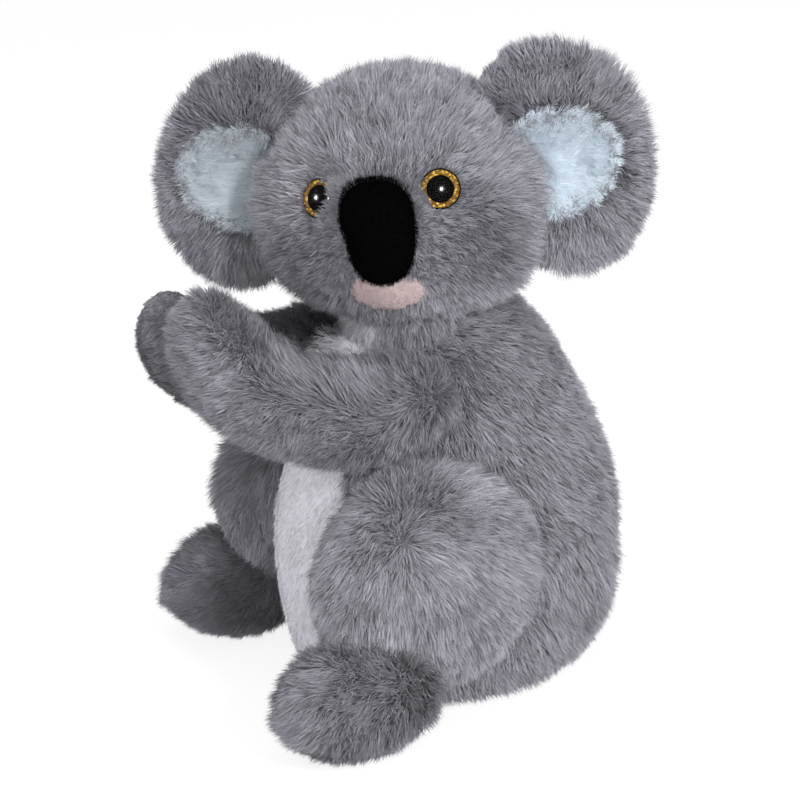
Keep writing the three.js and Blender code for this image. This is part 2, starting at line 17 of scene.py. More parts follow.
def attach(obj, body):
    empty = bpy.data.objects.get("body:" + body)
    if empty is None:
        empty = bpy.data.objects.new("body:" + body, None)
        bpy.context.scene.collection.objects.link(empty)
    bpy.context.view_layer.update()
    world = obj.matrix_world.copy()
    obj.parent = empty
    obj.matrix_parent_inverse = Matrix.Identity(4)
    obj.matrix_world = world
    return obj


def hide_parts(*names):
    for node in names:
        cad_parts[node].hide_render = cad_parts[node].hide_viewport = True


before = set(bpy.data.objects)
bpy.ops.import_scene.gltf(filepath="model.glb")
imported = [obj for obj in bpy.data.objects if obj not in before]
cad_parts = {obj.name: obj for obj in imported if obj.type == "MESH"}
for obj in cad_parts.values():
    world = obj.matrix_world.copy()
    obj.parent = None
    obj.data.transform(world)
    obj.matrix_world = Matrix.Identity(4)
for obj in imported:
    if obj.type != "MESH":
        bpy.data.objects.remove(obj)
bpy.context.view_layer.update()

bl_info = {
    "name": "Plush koala",
    "version": (1, 0, 0),
    "blender": (4, 5, 0),
    "location": "View3D > Sidebar > Koala",
    "description": "Makes the cloth, pile and face of a seated plush koala",
    "category": "Object",
}

SIDES = ("left", "right")
MM = 0.001

# The forms, as the solids have them.
TORSO = {"height": 168, "width": 119, "depth": 149, "back": 11.5}
TORSO_PROFILE = [
    *((0, 0), (0.76, 0.008), (0.92, 0.07), (1, 0.27), (0.98, 0.47)),
    *((0.79, 0.72), (0.56, 0.91), (0.3, 0.985), (0, 1)),
]
BELLY = {"width": 72, "bib": 40, "low": 8, "low_round": 14, "widest": 62, "slope": 34, "bib_slope": 26, "top": 158}
NECK = {"radius": 25, "centre": (0, -3.5, 158)}
HEAD = {"width": 115.5, "depth": 106, "height": 103, "centre": (0, -3.5, 210)}
HEAD_TURN, HEAD_TILT = 57, 3.5
CHEEK_FULLNESS = 0.04
MUZZLE = {"reach": 6, "spread": 24, "level": -8}
EAR = {"width": 71.5, "thick": 22, "height": 96, "out": 21.8, "up": 0.3, "tilt": 18}
EAR_SEAM = (43, 0, 5)
NOSE = {"width": 28.5, "depth": 22, "height": 41, "up": 1.9, "sunk": 1, "taper": 0.1, "bluntness": 2.6}
EYE = {"diameter": 16, "apart": 50, "up": 14.7, "dome": 5.5, "plate": 1.2, "sunk": 2.6, "rim": 0.8, "fit": 0.1}
PUPIL_RISE, GLITTER_THICKNESS = 0.8, 0.5
POST = {"diameter": 4, "length": 15}
SHOULDER = (41, -25, 144)
ARM = {"upper": 43, "paw": 37.5, "inward": 26, "reach": 76, "rise": 45}
ARM_SPINE = [(0.08, 0.25, -0.2), (0.55, 0.79, 0.16), (1, 1, 1)]
RIGHT_ARM_LOWERED = 6
HIP = (54, -22.75, 65.75)
THIGH = {"thick": 47, "round": 98}
FOOT = {"width": 44, "length": 68, "height": 51, "centre": (65, -59, 25), "toe_out": 4}
FLOOR_FLAT = 0.5

# Where this toy departs from the even solids.
LINING = {"width": 47, "height": 38, "dish": 5, "frill": 5}
MOUTH = {"width": 29.4, "height": 18.6, "down": 24.6, "aside": -0.8, "padding": 1.9}
PUPIL_DIAMETER, RING_DIAMETER = 10.7, 14.7
EYE_SHIFT = {"left": (-0.8, -0.3, 0), "right": (0, 0, -1.6)}
LEFT_EYE_TURN = -14
LEFT_EAR_FULLER, BRUSHED = 2.6, math.radians(22)
BRUSHED_WAY = (math.cos(BRUSHED), 0, math.sin(BRUSHED))
NOSE_SLIMMER = 0.12
BELLY_PADDING, BIB_PADDING = 2.2, 5.5

# How the pile lies.
MUZZLE_PILE = {"wide": 26, "high": 34, "level": -6}
# The cheeks, where the pile stands up and is also painted darker as painted shade.
CHEEK, CHEEK_SPREAD = (33, -37, -14), 21
THIGH_WHORL = (0, -12, 20)
EYE_CLEARED = (6.8, 7.5)
ROOTS_UNDERNEATH = {"below": 1.2, "share": 0.25}
MOST_STRANDS = 98000
FLOOR_CLEARANCE = 0.0002


# Settings


class KoalaPileSettings(bpy.types.PropertyGroup):
    """Sizes and colours of the pile."""

    pile_length: FloatProperty(
        name="Pile length", description="Grey pile from root to tip", default=0.0088, unit="LENGTH"
    )
    white_length: FloatProperty(
        name="White pile length", description="Pile of the belly and the ear linings", default=0.006, unit="LENGTH"
    )
    strand_width: FloatProperty(
        name="Strand width", description="Width of one tuft of fibres", default=0.00036, unit="LENGTH"
    )
    cloth_depth: FloatProperty(
        name="Cloth depth", description="How far the backing cloth lies inside the pressed pile", default=0.0035,
        unit="LENGTH",
    )
    clump_size: FloatProperty(
        name="Clump size", description="Width of the clumps that the pile falls into", default=0.003, unit="LENGTH"
    )
    strands: IntProperty(name="Strands per square centimetre", description="How thick the pile is", default=400, min=10)
    dark_grey: FloatVectorProperty(
        name="Dark grey", description="Pile in the shade of a clump", default=(0.152, 0.149, 0.172), subtype="COLOR"
    )
    light_grey: FloatVectorProperty(
        name="Light grey", description="Tips that catch the light", default=(0.445, 0.437, 0.49), subtype="COLOR"
    )
    white: FloatVectorProperty(
        name="Belly white", description="Pile of the belly", default=(0.78, 0.77, 0.83), subtype="COLOR"
    )
    lining_white: FloatVectorProperty(
        name="Lining white", description="Pile of the ear linings", default=(0.8, 0.88, 0.95), subtype="COLOR"
    )


class KoalaFaceSettings(bpy.types.PropertyGroup):
    """Sizes and colours of the face."""

    black: FloatVectorProperty(
        name="Nose black", description="Velvet of the nose", default=(0.0009, 0.0009, 0.001), subtype="COLOR"
    )
    pink: FloatVectorProperty(
        name="Mouth pink", description="Velour of the mouth", default=(0.46, 0.36, 0.36), subtype="COLOR"
    )
    gold: FloatVectorProperty(
        name="Eye gold", description="Glitter round the pupils", default=(0.42, 0.2, 0.008), subtype="COLOR"
    )
    glitter_grain: FloatProperty(
        name="Glitter grain", description="Width of one flake", default=0.0008, unit="LENGTH"
    )


class KoalaStageSettings(bpy.types.PropertyGroup):
    """The floor and the camera."""

    floor_colour: FloatVectorProperty(
        name="Floor colour", description="The plain floor", default=(0.9, 0.9, 0.9), subtype="COLOR"
    )
    azimuth: FloatProperty(
        name="Azimuth", description="Camera's turn from the front to the koala's left", default=math.radians(66.7),
        subtype="ANGLE",
    )
    elevation: FloatProperty(
        name="Elevation", description="Camera's height as an angle", default=math.radians(21), subtype="ANGLE"
    )
    distance: FloatProperty(
        name="Distance", description="Camera to the middle of the koala", default=1.1, unit="LENGTH"
    )


# Node trees


class Wire:
    """An output socket, on which Python's arithmetic adds Math nodes."""

    def __init__(self, graph, socket):
        self.graph = graph
        self.socket = socket

    def output(self, name):
        return Wire(self.graph, self.socket.node.outputs[name])

    def _math(self, operation, *values):
        return self.graph.add("ShaderNodeMath", {"operation": operation}, values)

    def __add__(self, other):
        return self._math("ADD", self, other)

    def __sub__(self, other):
        return self._math("SUBTRACT", self, other)

    def __mul__(self, other):
        return self._math("MULTIPLY", self, other)

    def __rtruediv__(self, other):
        return self._math("DIVIDE", other, self)

    def __pow__(self, other):
        return self._math("POWER", self, other)

    __radd__ = __add__
    __rmul__ = __mul__


class Graph:
    """A node tree that is filled one node at a time."""

    def __init__(self, tree):
        self.tree = tree

    def add(self, kind, settings=(), inputs=(), output=0):
        """Adds a node, sets it up, joins or sets its inputs, and gives one of its outputs."""
        node = self.tree.nodes.new(kind)
        for name, value in dict(settings).items():
            setattr(node, name, value)
        pairs = inputs.items() if isinstance(inputs, dict) else enumerate(inputs)
        for key, value in pairs:
            if isinstance(value, Wire):
                self.tree.links.new(value.socket, node.inputs[key])
            else:
                node.inputs[key].default_value = value
        return Wire(self, node.outputs[output])

    def vector(self, operation, *values):
        return self.add("ShaderNodeVectorMath", {"operation": operation}, values)

    def scaled(self, vector, factor):
        return self.add("ShaderNodeVectorMath", {"operation": "SCALE"}, {0: vector, 3: factor})

    def mix(self, factor, first, second, blend="MIX"):
        """Mixes two colours."""
        settings = {"data_type": "RGBA", "blend_type": blend}
        return self.add("ShaderNodeMix", settings, {0: factor, 6: first, 7: second}, 2)

    def seen(self):
        """1 for what the camera sees, straight or in gloss or glass, and 0 for what only lights the koala."""
        path = self.add("ShaderNodeLightPath")
        rays = path + path.output("Is Glossy Ray") + path.output("Is Transmission Ray")
        return self.add("ShaderNodeClamp", inputs=(rays, 0.0, 1.0))


class Finish(Graph):
    """A new material, whose patterns follow the place on the piece."""

    def __init__(self, name):
        self.material = bpy.data.materials.new(name)
        self.material.use_nodes = True
        super().__init__(self.material.node_tree)
        self.surface = self.tree.nodes["Principled BSDF"]
        self.place = None

    def pattern(self, kind, scale, **more):
        self.place = self.place or self.add("ShaderNodeTexCoord", output="Object")
        return self.add(kind, inputs={"Vector": self.place, "Scale": scale, **more})

    def noise(self, scale, detail, **more):
        return self.pattern("ShaderNodeTexNoise", scale, Detail=detail, **more)

    def bump(self, height, strength, distance):
        return self.add("ShaderNodeBump", inputs={"Strength": strength, "Distance": distance, "Height": height})

    def done(self, links=(), **constants):
        """Sets the shader's plain sockets, joins the others, and gives the material."""
        for name, value in constants.items():
            self.surface.inputs[name.replace("_", " ")].default_value = value
        for name, wire in dict(links).items():
            self.tree.links.new(wire.socket, self.surface.inputs[name])
        return self.material


def rgba(colour, brightness=1.0):
    return (*(min(1, c * brightness) for c in colour), 1.0)


# Materials


def pile_material(name, dark, light, root=0.3, sheen=0.25, gloss=0.12):
    """Pile whose tone goes across the strand map, with painted shade along it: darker at the root and a little brighter
    than its colour at the tip.
    """
    g = Finish(name)
    place = g.add("ShaderNodeSeparateXYZ", inputs=(g.add("ShaderNodeUVMap", {"uv_map": "OFBake"}),))
    tone = g.mix(place, rgba(dark), rgba(light))
    # Painted shade: the strand darkens towards its root, down in the pile, and is brightened a little at its tip.
    depth = root + (1.08 - root) * (place.output("Y") ** 0.7)
    shade = g.add("ShaderNodeCombineXYZ", inputs=(depth, depth, depth))
    links = {"Base Color": g.mix(1.0, tone, shade, "MULTIPLY")}
    return g.done(links, Roughness=0.72, Specular_IOR_Level=gloss, Sheen_Weight=sheen, Sheen_Roughness=0.5)


def cloth_material(name, dark, light):
    """Knitted backing cloth with the stubs of its pile."""
    g = Finish(name)
    stubs, patches = g.noise(900.0, 3.0, Roughness=0.6), g.noise(60.0, 2.0)
    tone = g.mix(stubs * 0.6 + patches * 0.4, rgba(dark), rgba(light))
    links = {"Base Color": tone, "Normal": g.bump(stubs, 0.35, 0.0006)}
    return g.done(links, Roughness=0.9, Specular_IOR_Level=0.15, Sheen_Weight=0.3)


def velvet_material(name, colour):
    """Crushed black velvet."""
    g = Finish(name)
    nap, crush = g.noise(1500.0, 4.0, Roughness=0.7), g.noise(110.0, 2.0)
    tone = g.mix(nap * 0.5 + crush * 0.5, rgba(colour), rgba(colour, 2.5))
    links = {"Base Color": tone, "Normal": g.bump(nap, 0.4, 0.0004)}
    return g.done(links, Roughness=0.9, Specular_IOR_Level=0.0)


def velour_material(name, colour):
    """Brushed pink velour with a fine knit and soft lighter patches."""
    g = Finish(name)
    fibres, brushed = g.noise(1400.0, 4.0, Roughness=0.65), g.noise(160.0, 3.0)
    tone = g.mix(fibres * 0.55 + brushed * 0.45, rgba(colour, 0.78), rgba(colour, 1.2))
    links = {"Base Color": tone, "Normal": g.bump(fibres, 0.5, 0.0004)}
    return g.done(links, Roughness=0.85, Specular_IOR_Level=0.15, Sheen_Weight=0.45, Sheen_Roughness=0.4)


def glitter_material(name, colour, grain):
    """Flakes of gold, each with its own tilt and tone, the brightest given a bright yellow colour as painted glints."""
    g = Finish(name)
    flakes = g.pattern("ShaderNodeTexVoronoi", 1 / grain)
    shade = g.add("ShaderNodeSeparateXYZ", inputs=(flakes.output("Color"),))
    brown = tuple(c * s for c, s in zip(colour, (0.28, 0.25, 0.2)))
    # Painted glints: the few brightest flakes get a bright yellow base colour.
    glint_painted = tuple(c * s for c, s in zip(colour, (2.4, 3.2, 9)))
    links = {
        "Base Color": g.mix(shade ** 6.0, rgba(brown), rgba(glint_painted)),
        "Normal": g.bump(shade.output("Y"), 0.9, 0.0004),
        "Roughness": 0.3 + 0.3 * shade.output("Z"),
    }
    return g.done(links, Specular_IOR_Level=0.1)


def pupil_material(name):
    """Black plastic with faint moulding ripples."""
    g = Finish(name)
    ripples = g.noise(420.0, 2.0)
    tone = g.mix(ripples, rgba((0.0006, 0.0006, 0.0006)), rgba((0.002, 0.0018, 0.0018)))
    return g.done({"Base Color": tone, "Roughness": 0.12 + 0.08 * ripples}, Specular_IOR_Level=0.0)


def lens_material(name):
    """Clear domed plastic with hair-fine scratches, thin enough not to bend what is under it."""
    g = Finish(name)
    wear = g.noise(700.0, 3.0)
    return g.done({"Roughness": 0.11 + 0.04 * wear}, Alpha=0.12, Base_Color=rgba((0.002, 0.002, 0.002)))


def washer_material(name):
    """Pale moulded plastic, which nothing shows."""
    g = Finish(name)
    grain = g.noise(350.0, 5.0, Distortion=1.5)
    tone = g.mix(grain, rgba((0.68, 0.68, 0.672)), rgba((0.85, 0.85, 0.84)))
    return g.done({"Base Color": tone, "Normal": g.bump(grain, 0.5, 0.001)}, Roughness=0.95)


# Meshes


def turn_about(axis, degrees):
    return np.array(Matrix.Rotation(math.radians(degrees), 3, axis))


HEAD_AXES = turn_about("Z", HEAD_TURN) @ turn_about("Y", -HEAD_TILT)
EAR_AXES = turn_about("Y", -EAR["tilt"])


def on_head(points):
    """Moves points from the head's own frame to where the head is."""
    return np.asarray(points, float) @ HEAD_AXES.T + np.array(HEAD["centre"])


def from_head(points):
    return (np.asarray(points, float) - np.array(HEAD["centre"])) @ HEAD_AXES


def on_ear(points):
    """Moves points from the left ear's own frame to the head's."""
    return np.asarray(points, float) @ EAR_AXES.T + np.array(EAR_SEAM)


def from_ear(points):
    return (np.asarray(points, float) - np.array(EAR_SEAM)) @ EAR_AXES


def mirror(points, side):
    """Left-hand points, or their mirror image for the right."""
    points = np.array(points, float)
    if side == "right":
        points[..., 0] *= -1
    return points


def smooth(low, high, value):
    """From 0 at the low value to 1 at the high one."""
    t = np.clip((value - low) / (high - low), 0, 1)
    return t * t * (3 - 2 * t)


def band(rise, fall, value):
    """From 0 to 1 over the rise, and back to 0 over the fall."""
    return smooth(*rise, value) * (1 - smooth(*fall, value))


def around(sides):
    return np.linspace(0, 2 * math.pi, sides, endpoint=False)


def put_in_scene(name, data):
    made = bpy.data.objects.new(name, data)
    bpy.context.scene.collection.objects.link(made)
    return made


def mesh_object(name, points_mm, faces):
    """A mesh object in the scene, its faces pointing outwards."""
    mesh = bpy.data.meshes.new(name)
    mesh.from_pydata([tuple(p) for p in np.asarray(points_mm) * MM], [], faces)
    shape = bmesh.new()
    shape.from_mesh(mesh)
    bmesh.ops.remove_doubles(shape, verts=shape.verts, dist=1e-6)
    bmesh.ops.recalc_face_normals(shape, faces=shape.faces)
    shape.to_mesh(mesh)
    shape.free()
    mesh.shade_smooth()
    return put_in_scene(name, mesh)


def numbering(sides):
    """Numbers the points of equal loops that follow one end point."""
    return lambda ring, side: 1 + ring * sides + side % sides


def closed_loft(loops, start, end):
    """Points and faces of a body through equal loops, closed to a point at each end."""
    rings, sides = loops.shape[:2]
    points = np.vstack([start, loops.reshape(-1, 3), end])
    last = len(points) - 1
    at = numbering(sides)
    faces = []
    for side in range(sides):
        faces.append((0, at(0, side), at(0, side + 1)))
        faces.append((last, at(rings - 1, side + 1), at(rings - 1, side)))
        for ring in range(rings - 1):
            faces.append((at(ring, side), at(ring + 1, side), at(ring + 1, side + 1), at(ring, side + 1)))
    return points, faces


def closed_sheet(front, back, faces, first=0):
    """Points and faces of a sheet closed by its back and round its edge, whose quads start at a given corner."""
    count = len(front)
    behind = [tuple(count + v for v in reversed(f)) for f in faces]
    edges = dict.fromkeys((a, b) for f in faces for a, b in zip(f, f[1:] + f[:1]))
    rim = [(a, count + a, count + b, b) for a, b in edges if (b, a) not in edges]
    rim = [quad[first:] + quad[:first] for quad in rim]
    return np.vstack([front, back]), faces + behind + rim


def ball(sides, rings, pole="z"):
    """A unit ball as a closed loft."""
    down = np.linspace(0, math.pi, rings + 1)[1:-1, None]
    turn = around(sides)
    loops = np.stack([np.sin(down) * np.cos(turn), np.sin(down) * np.sin(turn), np.repeat(np.cos(down), sides, 1)], -1)
    points, faces = closed_loft(loops, [(0, 0, 1)], [(0, 0, -1)])
    order = {"z": (0, 1, 2), "x": (2, 0, 1), "y": (1, 2, 0)}[pole]
    return points[:, order], faces


def soft_steps(points, share):
    """Catmull-Rom spline through points, at a share of its length in steps."""
    points = np.asarray(points, float)
    place = np.asarray(share) * (len(points) - 1)
    i = np.minimum(place.astype(int), len(points) - 2)
    w = (place - i)[:, None]
    p0, p1 = points[np.maximum(i - 1, 0)], points[i]
    p2, p3 = points[i + 1], points[np.minimum(i + 2, len(points) - 1)]
    v0, v1 = (p2 - p0) / 2, (p3 - p1) / 2
    return (2 * p1 - 2 * p2 + v0 + v1) * w**3 + (-3 * p1 + 3 * p2 - 2 * v0 - v1) * w**2 + v0 * w + p1


def torso_form(depth):
    """The torso, a given depth inside the solid, as every form here is."""
    sides, rings = 132, 96
    profile = soft_steps(TORSO_PROFILE, np.linspace(0, 1, rings + 1)[1:-1])
    stretch = 1 - 2 * depth / TORSO["height"]

    def level(share):
        return (share - 0.5) * TORSO["height"] * stretch + TORSO["height"] / 2 - FLOOR_FLAT

    x = (TORSO["width"] / 2 - depth) * profile[:, :1] * np.cos(around(sides))
    y = (TORSO["depth"] / 2 - depth) * profile[:, :1] * np.sin(around(sides)) + TORSO["back"]
    z = np.repeat(level(profile[:, 1:]), sides, 1)
    ends = [[(0, TORSO["back"], level(share))] for share in (0, 1)]
    return closed_loft(np.stack([x, y, z], -1), *ends)


def head_form(depth):
    """The head in its own frame. Depth is less over the muzzle, where the pile is short."""
    points, faces = ball(144, 104)
    x, y, z = points.T
    near = muzzle_share(points * (HEAD["width"] / 2, HEAD["depth"] / 2, HEAD["height"] / 2))
    inset = depth * (1 - 0.6 * near)
    fullness = 1 - CHEEK_FULLNESS * z
    wide = x * fullness * (HEAD["width"] / 2 - inset)
    high = z * (HEAD["height"] / 2 - inset)
    bump = np.exp(-((wide / MUZZLE["spread"]) ** 2) - ((high - MUZZLE["level"]) / MUZZLE["spread"]) ** 2)
    deep = y * fullness * (HEAD["depth"] / 2 - inset) - MUZZLE["reach"] * bump * np.maximum(0, -y)
    return np.stack([wide, deep, high], -1), faces


def muzzle_share(points):
    """From 1 at the nose and mouth to 0 where the pile has its full length."""
    x, y, z = points.T
    reach = np.hypot(x / MUZZLE_PILE["wide"], (z - MUZZLE_PILE["level"]) / MUZZLE_PILE["high"])
    return (1 - smooth(0.55, 1.25, reach)) * smooth(5, 25, -y)


def ear_form(depth, fuller):
    """The left ear in its own frame, with a dished front and its face towards -Y."""
    points, faces = ball(112, 72, "y")
    size = np.array([EAR["width"], EAR["thick"], EAR["height"]]) / 2 - depth
    shape = points * size + (EAR["out"], 0, EAR["up"])
    outer = np.maximum(0, points @ BRUSHED_WAY) ** 3
    shape += fuller * outer[:, None] * BRUSHED_WAY
    shape[:, 1] += np.where(points[:, 1] < 0, LINING["dish"] * smooth(0, 0.75, lining_share(shape)), 0)
    return shape, faces


def lining_share(points):
    """From 0 at the lining's edge to 1 at its middle, in the left ear's frame."""
    x, _, z = points.T
    reach = np.hypot((x - EAR["out"]) / (LINING["width"] / 2), (z - EAR["up"]) / (LINING["height"] / 2))
    return np.clip(1 - reach, -1, 1)


def arm_form(side, depth):
    """An arm, a curved taper about its shoulder."""
    sides, rings, spine_steps = 72, 84, 400
    spine_points = np.array(ARM_SPINE) * (-ARM["inward"], -ARM["reach"], ARM["rise"])
    spine_points = np.vstack([(0, ARM["upper"] / 2, 0), spine_points])
    fine = soft_steps(spine_points, np.linspace(0, 1, spine_steps))
    run = np.concatenate([[0], np.cumsum(np.linalg.norm(np.diff(fine, axis=0), axis=1))])
    share = (1 - np.cos(math.pi * np.arange(1, rings) / rings)) / 2
    at = share * run[-1]
    centre = np.stack([np.interp(at, run, fine[:, k]) for k in range(3)], -1)
    tangent = np.gradient(centre, axis=0)
    tangent /= np.linalg.norm(tangent, axis=1, keepdims=True)
    centre = centre - tangent * (depth * (2 * share - 1))[:, None]
    across = np.cross((0, 0, 1), tangent)
    across /= np.linalg.norm(across, axis=1, keepdims=True)
    over = np.cross(tangent, across)
    rounding = np.sqrt(1 - (2 * share - 1) ** 4)
    radius = (ARM["upper"] / 2 * (1 - share) + ARM["paw"] / 2 * share - depth) * rounding
    turn = around(sides)
    loops = (
        centre[:, None]
        + across[:, None] * (np.cos(turn)[None, :, None] * radius[:, None, None])
        + over[:, None] * (np.sin(turn)[None, :, None] * radius[:, None, None])
    )
    ends = fine[0] + tangent[0] * depth, fine[-1] - tangent[-1] * depth
    points, faces = closed_loft(loops, [ends[0]], [ends[1]])
    if side == "right":
        points = points @ turn_about("X", RIGHT_ARM_LOWERED).T
    return mirror(points + np.array(SHOULDER), side), faces


def thigh_form(side, depth):
    points, faces = ball(96, 64, "x")
    size = np.array([THIGH["thick"], THIGH["round"], THIGH["round"]]) / 2 - depth
    return mirror(points * size + np.array(HIP), side), faces


def foot_form(side, depth):
    points, faces = ball(72, 56, "y")
    size = np.array([FOOT["width"], FOOT["length"], FOOT["height"]]) / 2 - depth
    points = (points * size) @ turn_about("Z", FOOT["toe_out"]).T + np.array(FOOT["centre"])
    return mirror(points, side), faces


def nose_form():
    """The padded nose in the head's frame, an egg that narrows downwards and is slimmer at its lower right."""
    points, faces = ball(64, 48)
    x, y, z = points.T
    n = NOSE["bluntness"]
    blunt = np.hypot(x, z) / np.maximum((np.abs(x) ** n + np.abs(z) ** n) ** (1 / n), 1e-6)
    x, z = x * blunt * (1 + NOSE["taper"] * z), z * blunt
    x = np.where(x < 0, x * (1 - NOSE_SLIMMER * smooth(-0.35, 0.15, -z)), x)
    shape = np.stack([x * (NOSE["width"] / 2), y * (NOSE["depth"] / 2), z * (NOSE["height"] / 2)], -1)
    return shape + (0, NOSE["sunk"] - HEAD["depth"] / 2 - MUZZLE["reach"], NOSE["up"]), faces


def eye_place(side):
    """The middle of an eye's plate and its outward axis, in the head's frame."""
    x, z = EYE["apart"] / 2, EYE["up"]
    across, level = x / (HEAD["width"] / 2), z / (HEAD["height"] / 2)
    y = HEAD["depth"] / 2 * math.sqrt(1 - across**2 - level**2)
    outward = np.array([across / HEAD["width"], -y / (HEAD["depth"] ** 2 / 2), level / HEAD["height"]])
    outward /= np.linalg.norm(outward)
    middle = np.array([x, -y, z]) - outward * EYE["sunk"]
    return mirror(middle, side) + EYE_SHIFT[side], mirror(outward, side)


def turned(name, outline, place, outward, root):
    """A lathe-turned piece, from (radius, height) pairs. Heights below 0 are the shank, on the root's axis."""
    sides = 64
    outline = np.array(outline, float)
    radius, height = outline[:, :1], outline[:, 1:]
    loops = np.stack([radius * np.cos(around(sides)), radius * np.sin(around(sides)), np.repeat(height, sides, 1)], -1)
    upright, shank = [np.array(Vector(axis).to_track_quat("Z", "Y").to_matrix()) for axis in (outward, root)]
    shape = np.where(loops[..., 2:] < 0, loops @ shank.T, loops @ upright.T).reshape(-1, 3) + np.array(place)
    faces = []
    for ring in range(len(outline) - 1):
        for side in range(sides):
            a, b = ring * sides + side, ring * sides + (side + 1) % sides
            faces.append((a, b, b + sides, a + sides))
    return mesh_object(name, on_head(shape), faces)


def dome(radius, low, high, steps=14):
    """Points of a quarter turn from (radius, low) to (0, high)."""
    turn = np.linspace(0, math.pi / 2, steps)
    return [(radius * math.cos(t), low + (high - low) * math.sin(t)) for t in turn]


# What the pile needs to know about a form


class Form:
    """A cloth form with, at each of its points, how its pile grows."""

    def __init__(self, name, points, faces):
        self.object = mesh_object(name, points, faces)
        mesh = self.object.data
        self.points = np.array([v.co for v in mesh.vertices]) / MM
        self.normals = np.array([v.normal for v in mesh.vertices])
        count = len(self.points)
        self.cover = np.ones(count)
        self.comb = np.zeros((count, 3))
        self.pile = np.ones(count)
        self.tone = np.full(count, 0.5)

    def tree(self):
        shape = self.object.data
        corners = [v.co for v in shape.vertices]
        return BVHTree.FromPolygons(corners, [tuple(p.vertices) for p in shape.polygons])

    def hide_inside(self, other, margin=0.0):
        """No pile where this form lies inside another, or within a margin of it."""
        tree = other.tree()
        for i, p in enumerate(self.points):
            where, normal, _, distance = tree.find_nearest(Vector(p * MM))
            outside = (Vector(p * MM) - where).dot(normal) >= 0
            gap = distance / MM if outside else -distance / MM
            if gap < margin:
                self.cover[i] = 0

    def thin_underneath(self):
        """Few roots where the form rests on the floor."""
        self.cover *= np.where(self.points[:, 2] < ROOTS_UNDERNEATH["below"], ROOTS_UNDERNEATH["share"], 1)

    def lean(self, direction, amount):
        """Combs the pile along a direction, as far as it lies in the cloth."""
        shortest = 0.15
        along = np.broadcast_to(direction, self.points.shape).astype(float)
        along = along - self.normals * np.sum(along * self.normals, 1, keepdims=True)
        length = np.linalg.norm(along, axis=1, keepdims=True)
        self.comb = self.comb + along / np.maximum(length, shortest) * np.asarray(amount).reshape(-1, 1)

    def ruffle(self, amount, size, seed):
        """Lets the combing wander, and the tone with it."""
        noise.seed_set(seed)
        shift = Vector((seed * 13.7, seed * 5.1, seed * 9.3))
        wander = np.array([noise.noise_vector(Vector(p) / size + shift) for p in self.points])
        patch = np.array([noise.noise(Vector(p) / (size * 0.8) - shift) for p in self.points])
        wander -= self.normals * np.sum(wander * self.normals, 1, keepdims=True)
        self.comb = self.comb + wander * amount
        self.tone = np.clip(self.tone + 0.16 * patch, 0, 1)

    def store(self):
        mesh = self.object.data
        for name in ("cover", "pile", "tone"):
            layer = mesh.attributes.get(name) or mesh.attributes.new(name, "FLOAT", "POINT")
            layer.data.foreach_set("value", getattr(self, name).astype(np.float32))
        layer = mesh.attributes.get("comb") or mesh.attributes.new("comb", "FLOAT_VECTOR", "POINT")
        layer.data.foreach_set("vector", self.comb.astype(np.float32).ravel())

    def covered_area(self):
        """Square metres, weighed by the cover."""
        return sum(p.area * np.mean(self.cover[list(p.vertices)]) for p in self.object.data.polygons)


STRAND_OUTLINE = [(0, 0), (-0.5, 0.45), (0.5, 0.45), (0, 1)]
STRAND_FACES = [(0, 2, 1), (1, 2, 3)]


def strand_object():
    """One blade of unit size, which the pile repeats."""
    mesh = bpy.data.meshes.new("strand")
    mesh.from_pydata([(x, 0, z) for x, z in STRAND_OUTLINE], [], STRAND_FACES)
    mesh.shade_smooth()
    for name, values in zip(("across", "along"), zip(*STRAND_OUTLINE)):
        layer = mesh.attributes.new(name, "FLOAT", "POINT")
        layer.data.foreach_set("value", [float(v) for v in values])
    return put_in_scene("strand", mesh)


PILE_INPUTS = [
    ("Cloth", "NodeSocketGeometry", None),
    ("Strand", "NodeSocketObject", None),
    ("Material", "NodeSocketMaterial", None),
    ("Density", "NodeSocketFloat", 1.0e6),
    ("Length", "NodeSocketFloat", 0.0088),
    ("Width", "NodeSocketFloat", 0.0003),
    ("Scatter", "NodeSocketFloat", 0.3),
    ("Clump size", "NodeSocketFloat", 0.003),
    ("Clump pull", "NodeSocketFloat", 0.4),
    ("Droop", "NodeSocketFloat", 0.2),
    ("Tone spread", "NodeSocketFloat", 0.65),
    ("Seed", "NodeSocketInt", 1),
]
WORKING_ATTRIBUTES = ("bend", "shade", "across", "along", "cover", "pile", "tone", "comb")


